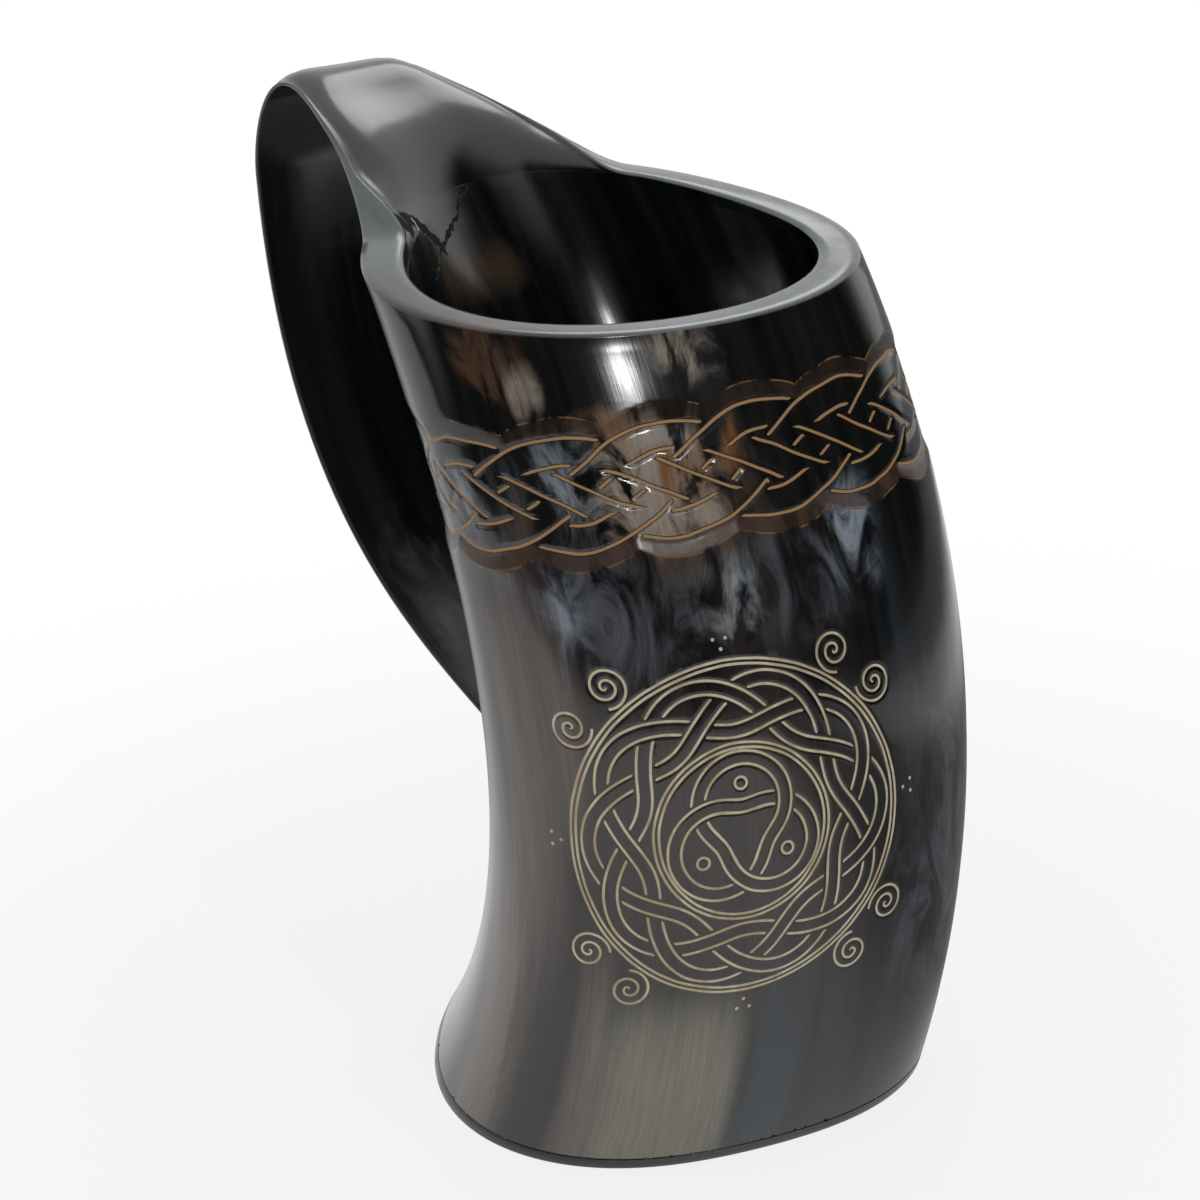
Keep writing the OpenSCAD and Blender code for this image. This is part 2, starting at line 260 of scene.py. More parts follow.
def handle_path():
    """Rows of the handle: stage 0 to 3 of each, and its place in X and Z."""
    root = ROOT_BACK[[0, 2]]
    crest, grip = np.array(CREST), np.array(GRIP)
    tail = np.array([float(back_x(np.array(TAIL_Y), np.array(TAIL_H))) - TAIL_GLUE_T, TAIL_H])
    rise = np.linalg.norm(crest - root)
    turn = np.linalg.norm(grip - crest)
    drop = np.linalg.norm(tail - grip)
    ahead, upward = np.array([1.0, 0.0]), np.array([0.0, 1.0])
    curves = [
        (root, root + ROOT_DIR * rise * RISE_PULLS[0], crest + ahead * rise * RISE_PULLS[1], crest),
        (crest, crest - ahead * turn * TURN_PULLS[0], grip + upward * turn * TURN_PULLS[1], grip),
        (grip, grip - upward * drop * DROP_PULLS[0], tail - TAIL_DIR * drop * DROP_PULLS[1], tail),
    ]
    steps = [np.linspace(0, 1, STAGE_ROWS[0]) ** ROOT_CROWDING]
    steps += [np.linspace(0, 1, rows + 1)[1:] for rows in STAGE_ROWS[1:]]
    stages = np.concatenate([k + t for k, t in enumerate(steps)])
    points = np.concatenate([bend(c, t) for c, t in zip(curves, steps)])
    return stages, points


STAGES, PATH = handle_path()
PATH_LEN = line_lengths(PATH)


def handle_rows(inside, cols):
    """Points of the handle on the outside (0) or inside (1) of the horn, for columns -1 to 1."""
    heading = np.zeros_like(PATH)
    heading[1:-1] = PATH[2:] - PATH[:-2]
    heading[0], heading[-1] = ROOT_DIR, TAIL_DIR
    heading /= np.linalg.norm(heading, axis=1, keepdims=True)
    turned = ease(STAGES / SQUARE_SHARE)[:, None]
    m = mix(np.array([1.0, 0.0]), np.stack([heading[:, 1], -heading[:, 0]], 1), turned)
    m /= np.linalg.norm(m, axis=1, keepdims=True)
    root_w = WALL_W * sin_d(ROOT_ANGLE)
    left = np.clip(1 - PATH_LEN / ROOT_FILLET, 0, 1)
    width = (mix(NECK_W, CREST_W, ease(STAGES)) + (GRIP_W - CREST_W) * ease(STAGES - 1)
             + (TAIL_W - GRIP_W) * ease(STAGES - 2) + (root_w - NECK_W) * (1 - np.sqrt(1 - left ** 2)))
    u = np.degrees(np.arcsin(width / WALL_W))[:, None] * np.asarray(cols)[None, :]
    r = roundness(u)
    trough = mix(1.0, TROUGH, ease(STAGES))[:, None]
    depth = WALL_L * (roundness(0.0) - r * cos_d(u)) * trough
    thick = mix(float(wall(ROOT_H)), HANDLE_T, ease(PATH_LEN / THINNING))[:, None]
    thin = EDGE_THINNING * ease(PATH_LEN / EDGE_THINNING_RUN)[:, None]
    thin = thin * np.abs(cols)[None, :] ** EDGE_THINNING_POWER
    t = np.maximum(SKIN, inside * thick * (1 - thin))
    out = depth + t * cos_d(u * trough)
    fade = np.clip(1 - PATH_LEN / (RIM_SLOPE_FADE * ROOT_FILLET), 0, 1)[:, None]
    slope = (rim_at(u) - ROOT_H) * fade
    middle = float(side(ROOT_H)) - HANDLE_DRIFT * ease(STAGES)[:, None]
    p = np.stack([
        PATH[:, :1] + m[:, :1] * out + slope * ROOT_DIR[0] / ROOT_DIR[1],
        middle + WALL_W * r * sin_d(u) - t * sin_d(u * trough),
        PATH[:, 1:] + m[:, 1:] * out + slope,
    ], -1)
    top = rim_at(u[0]) - EDGE_BEVEL
    start = cup_at(u[0], top, np.maximum(SKIN, inside * wall(top)))
    p += (start - p[0])[None] * fade[:, :, None]
    run = np.zeros(p.shape[1])
    for _ in range(10):
        z = p[-1, :, 2] + run * TAIL_DIR[1]
        run = (back_x(p[-1, :, 1], z) - TAIL_GLUE_T - p[-1, :, 0]) / TAIL_DIR[0]
    p[-1, :, 0] += run * TAIL_DIR[0]
    p[-1, :, 2] += run * TAIL_DIR[1]
    return p, u


# Round the cup, with equal lengths for equal angles

ROUND_ANGLES = np.linspace(0, 360, 1441)
ROUND_LENGTHS = line_lengths(cup_at(ROUND_ANGLES, BRAID_H))
BRAID_PITCH = float(ROUND_LENGTHS[-1]) / BRAID_REPEATS


def even_angle(u):
    """Angle that grows evenly with the length round the cup."""
    turns, rest = np.divmod(u, 360)
    return 360 * (turns + np.interp(rest, ROUND_ANGLES, ROUND_LENGTHS / ROUND_LENGTHS[-1]))


# The front, flattened: across and up the surface from the medallion's middle

FRONT_HALF_ANGLE, FRONT_LOW, FRONT_HIGH = 80, 10, 120
FRONT_ANGLES = np.linspace(MEDAL_ANGLE - FRONT_HALF_ANGLE, MEDAL_ANGLE + FRONT_HALF_ANGLE, 321)
FRONT_HEIGHTS = np.linspace(FRONT_LOW, FRONT_HIGH, 56)
FRONT_LENGTHS = np.array([line_lengths(cup_at(FRONT_ANGLES, h)) for h in FRONT_HEIGHTS])
FRONT_ACROSS = FRONT_LENGTHS[:, len(FRONT_ANGLES) // 2, None] - FRONT_LENGTHS
FRONT_UP = line_lengths(cup_at(MEDAL_ANGLE, FRONT_HEIGHTS))


def front_place(u, z):
    """Place across and up the flattened front, in the medallion's own lengths."""
    row = np.interp(z, FRONT_HEIGHTS, np.arange(len(FRONT_HEIGHTS))).clip(0, len(FRONT_HEIGHTS) - 1.001)
    col = np.interp(u, FRONT_ANGLES, np.arange(len(FRONT_ANGLES))).clip(0, len(FRONT_ANGLES) - 1.001)
    r, c = row.astype(int), col.astype(int)
    low = mix(FRONT_ACROSS[r, c], FRONT_ACROSS[r, c + 1], col - c)
    high = mix(FRONT_ACROSS[r + 1, c], FRONT_ACROSS[r + 1, c + 1], col - c)
    b = np.interp(z, FRONT_HEIGHTS, FRONT_UP) - np.interp(MEDAL_H, FRONT_HEIGHTS, FRONT_UP)
    return mix(low, high, row - r) / MEDAL_SCALE, b / MEDAL_SCALE


# Meshes


def column_angle(c):
    """Angle round the cup of a column; the first ones are the handle's root."""
    c = np.asarray(c, float)
    root = ROOT_ANGLE * (2 * c / ROOT_COLS - 1)
    free = ROOT_ANGLE + (360 - 2 * ROOT_ANGLE) * (c - ROOT_COLS) / FREE_COLS
    return np.where(c <= ROOT_COLS, root, free)


def cell_splits():
    """How many times each carved cell is split; the others are left out."""
    row, col = np.divmod(np.arange(CUP_ROWS * COLS), COLS)
    u = np.mod(column_angle(col + 0.5), 360)
    z = mix(HORN_BOTTOM, rim_at(u), (row + 0.5) / CUP_ROWS)
    middle = BRAID_H + BRAID_TILT[0] * cos_d(u) + BRAID_TILT[1] * sin_d(u)
    in_braid = np.abs(z - middle) * BRAID_STRETCH < SCALLOP_LOW + SCALLOP_DEEP + CELL_REACH
    a, b = front_place(u, z)
    curl = np.array([cos_d(CURL_ANGLE), sin_d(CURL_ANGLE)]) * CURL_REACH
    x, y = np.maximum(abs(a), abs(b)), np.minimum(abs(a), abs(b))
    in_medallion = np.hypot(a, b) < CIRCLES[-1] + CELL_REACH
    in_medallion |= np.hypot(x - curl[0], y - curl[1]) < CURL_RADIUS + CELL_REACH
    in_medallion &= np.abs(u - MEDAL_ANGLE) < MEDAL_HALF_ANGLE
    splits = {(r, c): BRAID_SPLIT for r, c in zip(row[in_braid].tolist(), col[in_braid].tolist())}
    for r, c in zip(row[in_medallion].tolist(), col[in_medallion].tolist()):
        if not any(splits.get((r + n, c + m)) == BRAID_SPLIT for n in (-1, 0, 1) for m in (-1, 0, 1)):
            splits[r, c] = MEDAL_SPLIT
    return splits


def lattice(rows, cols, splits):
    """Cells of a closed sheet, some of them split: ids by place, places in cells, and faces."""
    ids, faces = {}, []

    def spot(i, j):
        return ids.setdefault((i, j % (cols * CELL)), len(ids))

    for row in range(rows):
        for col in range(cols):
            i, j = row * CELL, col * CELL
            step = CELL // splits.get((row, col), 1)
            if step < CELL:
                faces += [(spot(a, b), spot(a, b + step), spot(a + step, b + step), spot(a + step, b))
                          for a in range(i, i + CELL, step) for b in range(j, j + CELL, step)]
                continue
            corners = ((i, j), (i, j + CELL), (i + CELL, j + CELL), (i + CELL, j))
            beside = ((row - 1, col), (row, (col + 1) % cols), (row + 1, col), (row, (col - 1) % cols))
            loop = []
            for start, end, cell in zip(corners, corners[1:] + corners[:1], beside):
                n = splits.get(cell, 1)
                loop += [spot(*(round(mix(a, b, k / n)) for a, b in zip(start, end))) for k in range(n)]
            faces.append(tuple(loop))
    return ids, np.array(list(ids), float) / CELL, faces


def patch(u, z, mid_u, mid_z, half_u, half_z, strength, crisp):
    """Spot on the horn: its strength at its middle, 0 past its edge."""
    du = (np.mod(u - mid_u + 180, 360) - 180) / half_u
    dz = (z - mid_z) / half_z
    return strength * np.exp(-(np.abs(du) ** crisp + np.abs(dz) ** crisp))


# Natural colours of the horn's outside: shade, how broken up it is, and spots that have a middle
# (angle, height), a half size (angle, height), a strength and a crispness
TONES = {
    "warm": ("#3a312d", 0.5, [(226, 58, 50, 48, 0.85, 3), (60, 60, 50, 50, 0.7, 3)]),
    "haze": ("#55575c", 1.4, [
        (207, 105, 34, 11, 0.6, 3), (238, 103, 17, 14, 0.8, 3), (262, 118, 16, 12, 0.7, 3),
        (150, 50, 30, 40, 0.5, 3), (30, 110, 50, 40, 0.5, 3), (-5, 300, 14, 26, 0.5, 2)]),
    "mist": ("#8b939a", 1.7, [
        (173, 110, 8, 9, 0.75, 3), (205, 105, 8, 7, 0.6, 3), (246, 103, 6, 8, 0.5, 3),
        (264, 122, 11, 7, 0.5, 3), (236, 124, 10, 9, 0.6, 3), (60, 132, 12, 12, 0.7, 3)]),
    "mauve": ("#72665f", 0.4, [
        (247.5, 16, 5, 32, 0.95, 4), (275, 24, 10, 56, 1.0, 3), (264, 78, 11, 44, 0.75, 3),
        (255, 88, 8, 32, 0.7, 3), (300, 30, 14, 40, 0.6, 3), (90, 20, 14, 30, 0.6, 3)]),
    "slate": ("#2e373d", 0.5, [
        (203, 8, 8.5, 36, 0.9, 5), (186, 18, 9, 36, 0.5, 3), (168, 84, 6, 40, 0.5, 3),
        (120, 100, 16, 44, 0.6, 3)]),
    "olive": ("#827d6d", 0.25, [
        (228.5, 6, 18.5, 32, 1.0, 6), (130, 4, 16, 30, 0.9, 5), (40, 6, 12, 26, 0.8, 5)]),
    "brown": ("#503b2b", 1.5, [
        (267, 20, 3, 26, 0.8, 3), (248, 141, 9, 7, 0.9, 3), (256, 117, 10, 9, 0.5, 3),
        (222, 108, 12, 5, 0.4, 3), (216, 119, 22, 12, 0.7, 3), (110, 140, 14, 8, 0.8, 3),
        (75, 115, 16, 12, 0.6, 3)]),
    "cream": ("#94887a", 2.0, [
        (219, 123, 16, 10, 1.0, 3), (204, 141, 11, 6, 0.6, 3), (242, 137, 5, 5, 0.6, 3),
        (207, 104, 8, 8, 0.4, 3), (92, 124, 12, 10, 0.8, 3)]),
    "amber": ("#7c5331", 1.7, [
        (201, 127, 6, 5, 0.6, 3), (211, 123, 7, 5, 0.7, 3), (226, 130, 9, 5, 0.5, 3)]),
}

# Worn colour of the rim's edge, partly wear and partly a painted reflection, which fades up the handle, and
# raw colour of the handle's edges, which comes in down its drop. Heights are measured along the handle.
RIM_WEAR_FROM, RIM_WEAR_RUN, RIM_WEAR_LOSS = 8, 12, 0.75
RAW_FROM, RAW_RUN = 215, 30

# Stretch of the rim left dark as painted shade, where it reflects less light, given as a spot
RIM_PAINTED_SHADE = (255, 150, 34, 30, 0.95, 4)


def horn_marks(angle, height, outer_end, inside, edge):
    """Values that the horn's material reads at each point. Inside and edge tell which points lie there."""
    on_drop = ease((height - RAW_FROM) / RAW_RUN)
    on_rim = 1 - RIM_WEAR_LOSS * ease((height - RIM_H - RIM_WEAR_FROM) / RIM_WEAR_RUN)
    # Along the dull stretch of the rim the worn colour is left off, as painted shade
    wear_and_painted_light = on_rim * (1 - on_drop) * (1 - patch(angle, height, *RIM_PAINTED_SHADE))
    marks = {"outer": np.arange(len(angle)) < outer_end, "inside": inside, "wear_and_painted_light": edge * wear_and_painted_light,
             "raw_edge": edge * on_drop}
    for name, (_, _, spots) in TONES.items():
        marks[name] = ~inside * np.maximum.reduce([patch(angle, height, *spot) for spot in spots])
    return marks


def build_horn():
    """The carved horn: cup and handle in one closed mesh."""
    width, last = ROOT_COLS + 1, len(PATH) - 1
    parts, faces, bottoms, tails, edges = [], [], [], [], []
    count = 0
    for inside, rows, splits in ((0, CUP_ROWS, cell_splits()), (1, INNER_ROWS, {})):
        ids, places, cells = lattice(rows, COLS, splits)
        u = column_angle(places[:, 1])
        z = mix(HORN_BOTTOM, rim_at(u) - EDGE_BEVEL, places[:, 0] / rows)
        parts.append((u, z, inside * wall(z), cup_at(u, z, np.maximum(SKIN, inside * wall(z)))))
        strap, strap_u = handle_rows(inside, np.linspace(-1, 1, width))
        strap_len = rim_at(strap_u) + PATH_LEN[:, None]
        parts.append((strap_u[1:].ravel(), strap_len[1:].ravel(), np.full(last * width, inside * HANDLE_T),
                      strap[1:].reshape(-1, 3)))

        bottom, top = (count + np.array([ids[row * CELL, col % COLS * CELL] for col in range(COLS + 1)])
                       for row in (0, rows))
        strap_ids = count + len(u) + np.arange(last * width).reshape(last, width)
        strap_ids = np.vstack([top[:width], strap_ids])
        sheet = [[count + i for i in cell] for cell in cells] + quads(strap_ids)
        faces += sheet if inside else [face[::-1] for face in sheet]
        bottoms.append(bottom)
        tails.append(strap_ids[-1, ::-1])

        # Free edge: up one side of the handle, round the rim and down the other side
        edges.append(np.concatenate([strap_ids[::-1, 0], top[COLS - 1:ROOT_COLS:-1], strap_ids[:, -1]]))
        count += len(u) + last * width
    faces += quads(bottoms) + quads(tails)
    angle, height, depth_in, points = (np.concatenate(values) for values in zip(*parts))

    # Rounding of the free edge, which bulges between the outside and the inside
    outer, inner = (points[ids] for ids in edges)
    proud = np.cross(np.gradient(outer, axis=0), inner - outer)
    proud /= np.linalg.norm(proud, axis=1, keepdims=True)
    turn = np.radians(EDGE_TURNS)
    near = EDGE_ROUND_SHARE * (1 - np.cos(turn))
    shares = np.concatenate([near, [0.5], 1 - near[::-1]])
    bulge = EDGE_BEVEL * np.concatenate([np.sin(turn), [1.0], np.sin(turn[::-1])])
    ends = np.ones(len(outer))
    ends[[0, -1]] = 0.0
    rounding = [mix(outer, inner, q) + proud * (h * ends)[:, None] for q, h in zip(shares, bulge)]
    edge_u, edge_h = angle[edges[0]], height[edges[0]]
    points = np.concatenate([points] + rounding)
    angle = np.concatenate([angle, np.tile(edge_u, len(shares))])
    height = np.concatenate([height, np.tile(edge_h, len(shares))])
    depth_in = np.concatenate([depth_in, np.outer(shares, wall(edge_h.clip(0, RIM_H))).ravel()])
    rounding_ids = np.arange(count, len(points)).reshape(len(shares), -1)
    edge_ids = np.vstack([edges[0], rounding_ids, edges[1]])
    faces += quads(edge_ids) + [edge_ids[:, 0].tolist(), edge_ids[::-1, -1].tolist()]

    u, z = parts[0][:2]
    order = np.arange(len(points))
    is_inside = (order >= len(u) + last * width) & (order < count)
    values = horn_marks(angle, height, len(u), is_inside, order >= count)
    front, inward = np.zeros((2, len(points), 3))
    front[:len(u), :2] = np.stack(front_place(np.mod(u, 360), z), 1) * MM
    inward[:len(u)] = -cup_normal(u, z)
    vectors = {"grain": grain_of(angle, height, depth_in), "wall_place": wall_place(angle, height),
               "front": front, "inward": inward}
    return make_mesh("carved_horn", points, faces, values, vectors)


# Patterns of the carving, made of nodes that work both in the tree that sinks the surface and in the
# horn's material. They give fields in millimetres: how far a place is outside the cut. FAR is past all.

FAR = 50.0


def add(tree, kind, *values, out=0, **more):
    """Adds a node and returns one of its outputs, or all if out is None. Its kind may be followed by
    its operation. Values go to its inputs in order, and capitalised ones by name: a socket is linked,
    anything else is set. The others are the node's own settings."""
    kind, _, operation = kind.partition(" ")
    group = "" if kind.startswith(("Geometry", "Function", "NodeGroup")) else "ShaderNode"
    node = tree.nodes.new(group + kind)
    if operation:
        node.operation = operation.upper().replace(" ", "_")
    for key, value in more.items():
        if not key[0].isupper():
            setattr(node, key, value)
    named = [(key.replace("_", " "), value) for key, value in more.items() if key[0].isupper()]
    for key, value in list(enumerate(values)) + named:
        if isinstance(value, bpy.types.NodeSocket):
            tree.links.new(value, node.inputs[key])
        elif value is not None:
            node.inputs[key].default_value = value
    return node.outputs if out is None else node.outputs[out]


def fold(tree, kind, parts):
    """One value from many, by nodes that take two."""
    whole = parts[0]
    for part in parts[1:]:
        whole = add(tree, kind, whole, part)
    return whole


def plait_fields(tree, phase, turn, height, ropes, swing, half_w, cut_half_w, free, taper, riser_on_top):
    """Fields of the cuts along the edges of waving ropes, and of the ropes. Phase is the first rope's
    place in its wave, and turn is how much that grows per millimetre. Where riser_on_top is 1 a rope
    that rises is the upper one at a crossing, and where it is 0 a rope that falls. A cut stops this
    far clear of the upper rope, and tapers before that."""
    away, upper = [], []
    for k in range(ropes):
        angle = add(tree, "Math add", phase, k * math.tau / ropes)
        fall = add(tree, "Math sine", angle)
        middle = add(tree, "Math multiply", add(tree, "Math cosine", angle), swing)
        slope = add(tree, "Math multiply", add(tree, "Math multiply", fall, turn), swing)
        steep = add(tree, "Math sqrt", add(tree, "Math multiply add", slope, slope, 1.0))
        gap = add(tree, "Math divide", add(tree, "Math subtract", height, middle), steep)
        away.append(add(tree, "Math absolute", gap))
        rises = add(tree, "Math less than", fall, 0.0)
        upper.append(add(tree, "Math compare", rises, riser_on_top, 0.1))
    covered = half_w - FAR + free
    cuts = []
    for k in range(ropes):
        gaps = []
        for j in range(ropes):
            if j != k:
                under = add(tree, "Math subtract", upper[j], upper[k])
                gaps.append(add(tree, "Math multiply add", under, -FAR, away[j]))
        clear = fold(tree, "Math minimum", gaps)
        width = add(tree, "MapRange", clear, covered, covered + taper, -2 * cut_half_w, cut_half_w)
        edge = add(tree, "Math absolute", add(tree, "Math subtract", away[k], half_w))
        cuts.append(add(tree, "Math subtract", edge, width))
    rope = add(tree, "Math subtract", fold(tree, "Math minimum", away), half_w)
    return fold(tree, "Math minimum", cuts), rope


def wandered(tree, place, size_mm, amount_mm):
    """The place, moved about smoothly as by an unsteady hand."""
    cloud = add(tree, "TexNoise", Vector=place, Scale=1 / (size_mm * MM), Detail=1.0, out="Color")
    shift = add(tree, "VectorMath subtract", cloud, (0.5, 0.5, 0.5))
    shift = add(tree, "VectorMath multiply", shift, (amount_mm * MM,) * 3)
    return add(tree, "VectorMath add", place, shift)


def braid_fields(tree, grain):
    """Fields of the braid's cuts and ropes, depth inside its border, and height above its middle."""
    place = wandered(tree, grain, *BRAID_WANDER)
    x, y, _ = add(tree, "SeparateXYZ", place, out=None)
    angle = add(tree, "Math arctan2", y, add(tree, "Math multiply", x, -1.0))
    start = math.radians(float(even_angle(BRAID_START))) * BRAID_REPEATS / BRAID_ROPES + math.pi / 2
    phase = add(tree, "Math multiply add", angle, -BRAID_REPEATS / BRAID_ROPES, start)
    tilt = Vector((BRAID_TILT[0] / GRAIN_RADIUS, -BRAID_TILT[1] / GRAIN_RADIUS, 1.0)) * (BRAID_STRETCH / MM)
    height = add(tree, "VectorMath dot product", place, tilt, out="Value")
    height = add(tree, "Math subtract", height, BRAID_H * BRAID_STRETCH)
    up = add(tree, "Math absolute", height)
    at_side = add(tree, "Math greater than", up, ROPE_SWING / 2)
    turn = math.pi / 2 / BRAID_PITCH
    cuts, ropes = plait_fields(tree, phase, turn, height, BRAID_ROPES, ROPE_SWING, ROPE_HALF_W, CUT_HALF_W,
                               ROPE_CLEAR, ROPE_TAPER, at_side)
    arch = add(tree, "Math cosine", add(tree, "Math multiply", phase, 2.0))
    arch = add(tree, "Math power", add(tree, "Math absolute", arch), SCALLOP_POWER)
    border = add(tree, "Math multiply add", arch, SCALLOP_DEEP, SCALLOP_LOW)
    return cuts, ropes, add(tree, "Math subtract", border, up), height


def braid_bevel(tree, ropes, within):
    """0 at the border, 1 at the ropes and between them."""
    run = add(tree, "Math maximum", within, 0.0)
    rest = add(tree, "Math add", add(tree, "Math maximum", ropes, 0.0), BEVEL_ROUND)
    whole = add(tree, "Math add", run, rest)
    return add(tree, "MapRange", add(tree, "Math divide", run, whole), 0.0, BEVEL_FULL)


def knot_field(tree, knot, reach, angle, start, riser_on_top):
    """Field of the lines of ropes that weave round the medallion's middle."""
    waves = knot["loops"] / knot["ropes"]
    phase = add(tree, "Math multiply add", angle, waves, start)
    arm = add(tree, "Math maximum", reach, knot["radius"] - knot["swing"])
    turn = add(tree, "Math divide", waves, arm)
    height = add(tree, "Math subtract", reach, knot["radius"])
    if riser_on_top is None:
        riser_on_top = add(tree, "Math greater than", height, 0.0)
    return plait_fields(tree, phase, turn, height, knot["ropes"], knot["swing"], knot["half_w"],
                        LINE_HALF_W, LINE_CLEAR, LINE_TAPER, riser_on_top)[0]


def medallion_field(tree, front):
    """Field of the medallion's lines."""
    place = wandered(tree, front, *LINE_WANDER)
    place = add(tree, "VectorMath multiply", place, (1 / MM, 1 / MM, 0.0))
    a, b, _ = add(tree, "SeparateXYZ", place, out=None)
    reach = add(tree, "VectorMath length", place, out="Value")
    angle = add(tree, "Math arctan2", b, a)
    fields = [knot_field(tree, RING, reach, angle, 0.0, None),
              knot_field(tree, HEART, reach, angle, -0.75 * math.pi, 1.0)]
    for radius in CIRCLES:
        ring = add(tree, "Math absolute", add(tree, "Math subtract", reach, radius))
        fields.append(add(tree, "Math subtract", ring, LINE_HALF_W))

    # An eighth of the medallion stands for all eight: its curl, and its dots
    wide, high = (add(tree, "Math absolute", part) for part in (a, b))
    folded = add(tree, "CombineXYZ", add(tree, "Math maximum", wide, high),
                 add(tree, "Math minimum", wide, high))
    for dot in DOTS:
        away = add(tree, "VectorMath distance", folded, dot + (0.0,), out="Value")
        fields.append(add(tree, "Math subtract", away, DOT_RADIUS))
    middle = Vector((cos_d(CURL_ANGLE), sin_d(CURL_ANGLE), 0.0)) * CURL_REACH
    local = add(tree, "VectorMath subtract", folded, middle)
    x, y, _ = add(tree, "SeparateXYZ", local, out=None)
    radius = add(tree, "VectorMath length", local, out="Value")
    winding = add(tree, "Math arctan2", y, x)
    turns = add(tree, "Math multiply add", winding, -1 / math.tau, CURL_RADIUS / CURL_GAP - CURL_START)
    wound = add(tree, "Math subtract", add(tree, "Math multiply", radius, 1 / CURL_GAP), turns)
    nearest = add(tree, "Math round", wound)
    off = add(tree, "Math absolute", add(tree, "Math subtract", wound, nearest))
    curl = add(tree, "Math multiply add", off, CURL_GAP, -LINE_HALF_W)
    past = add(tree, "Math greater than", nearest, 0.5)
    fields.append(add(tree, "Math multiply add", past, FAR, curl))

    # A third stands for the three buds inside the knot's loops
    third = math.tau / 3
    petal = add(tree, "Math wrap", add(tree, "Math subtract", angle, math.pi / 2), third / 2, -third / 2)
    turned = add(tree, "CombineXYZ", add(tree, "Math multiply", reach, add(tree, "Math cosine", petal)),
                 add(tree, "Math multiply", reach, add(tree, "Math sine", petal)))
    bud = add(tree, "VectorMath distance", turned, (BUD_REACH, 0.0, 0.0), out="Value")
    bud = add(tree, "Math absolute", add(tree, "Math subtract", bud, BUD_RADIUS))
    fields.append(add(tree, "Math subtract", bud, LINE_HALF_W))
    return fold(tree, "Math minimum", fields)


def new_geometry_tree(name, inputs):
    """Tree with a geometry input and inputs given by name and kind."""
    tree = bpy.data.node_groups.new(name, "GeometryNodeTree")
    for socket, kind in {"Geometry": "Geometry", **inputs}.items():
        tree.interface.new_socket(socket, in_out="INPUT", socket_type="NodeSocket" + kind)
    tree.interface.new_socket("Geometry", in_out="OUTPUT", socket_type="NodeSocketGeometry")
    return tree, tree.nodes.new("NodeGroupInput").outputs


def end_geometry_tree(tree, geometry, material):
    """Gives the geometry its material and puts it out."""
    whole = add(tree, "GeometryNodeRealizeInstances", geometry)
    add(tree, "NodeGroupOutput", add(tree, "GeometryNodeSetMaterial", whole, Material=material), out=None)


def carve(obj, material):
    """Sinks the horn's surface by its carving, in the direction that each point carries."""
    depths = {"Braid depth": BRAID_DEPTH, "Cut depth": CUT_DEPTH, "Line depth": LINE_DEPTH}
    tree, given = new_geometry_tree("carving", {name: "Float" for name in depths} | {"Horn": "Material"})
    grain, front, inward = (add(tree, "GeometryNodeInputNamedAttribute", name, data_type="FLOAT_VECTOR")
                            for name in ("grain", "front", "inward"))
    cuts, ropes, within, _ = braid_fields(tree, grain)
    groove, line = (
        add(tree, "MapRange", field, *fade, 1.0, 0.0, interpolation_type="SMOOTHSTEP")
        for field, fade in ((cuts, (-CUT_HALF_W, CUT_FADE_END)), (medallion_field(tree, front), LINE_FADE)))
    depth = add(tree, "Math multiply", braid_bevel(tree, ropes, within), given["Braid depth"])
    depth = add(tree, "Math multiply add", groove, given["Cut depth"], depth)
    depth = add(tree, "Math multiply add", line, given["Line depth"], depth)
    move = add(tree, "VectorMath scale", inward, Scale=depth)
    sunk = add(tree, "GeometryNodeSetPosition", given["Geometry"], Offset=move)
    end_geometry_tree(tree, sunk, given["Horn"])
    grow(obj, tree, {name: depth * MM for name, depth in depths.items()} | {"Horn": material})
    return obj


def grow(obj, tree, inputs):
    """Runs a tree of geometry nodes on the object and keeps the result as its plain mesh."""
    modifier = obj.modifiers.new(tree.name, "NODES")
    modifier.node_group = tree
    for item in tree.interface.items_tree:
        if item.in_out == "INPUT" and item.name in inputs:
            modifier[item.identifier] = inputs[item.name]
    graph = bpy.context.evaluated_depsgraph_get()
    mesh = bpy.data.meshes.new_from_object(obj.evaluated_get(graph))
    obj.modifiers.remove(modifier)
    obj.data = mesh


def wall_place(angle, height):
    """Place on the inner wall, across and up, for marks that lie there."""
    across = (np.mod(angle + 180, 360) - 180) * WALL_MM_PER_DEGREE
    return np.stack([across, height, np.zeros_like(across)], 1) * MM


def grain_of(angle, height, depth_in):
    """Place in the horn as if it were straight, so that streaks follow its length."""
    even = even_angle(angle)
    radius = GRAIN_RADIUS - depth_in
    return np.stack([-radius * cos_d(even), radius * sin_d(even), height], 1) * MM


def make_mesh(name, points, faces, values=None, vectors=None):
    """Smooth mesh object. Values and vectors are kept at its points, by name."""
    mesh = bpy.data.meshes.new(name)
    mesh.from_pydata((np.asarray(points) * MM).tolist(), [], faces)
    for kind, field, given in (("FLOAT", "value", values), ("FLOAT_VECTOR", "vector", vectors)):
        for key, data in (given or {}).items():
            mesh.attributes.new(key, kind, "POINT").data.foreach_set(field, np.asarray(data, float).ravel())
    mesh.polygons.foreach_set("use_smooth", [True] * len(mesh.polygons))
    mesh.update()
    obj = bpy.data.objects.new(name, mesh)
    bpy.context.collection.objects.link(obj)
    return obj


def quads(ids):
    """Faces between rows of point ids."""
    ids = np.asarray(ids)
    return np.stack([ids[:-1, :-1], ids[:-1, 1:], ids[1:, 1:], ids[1:, :-1]], -1).reshape(-1, 4).tolist()


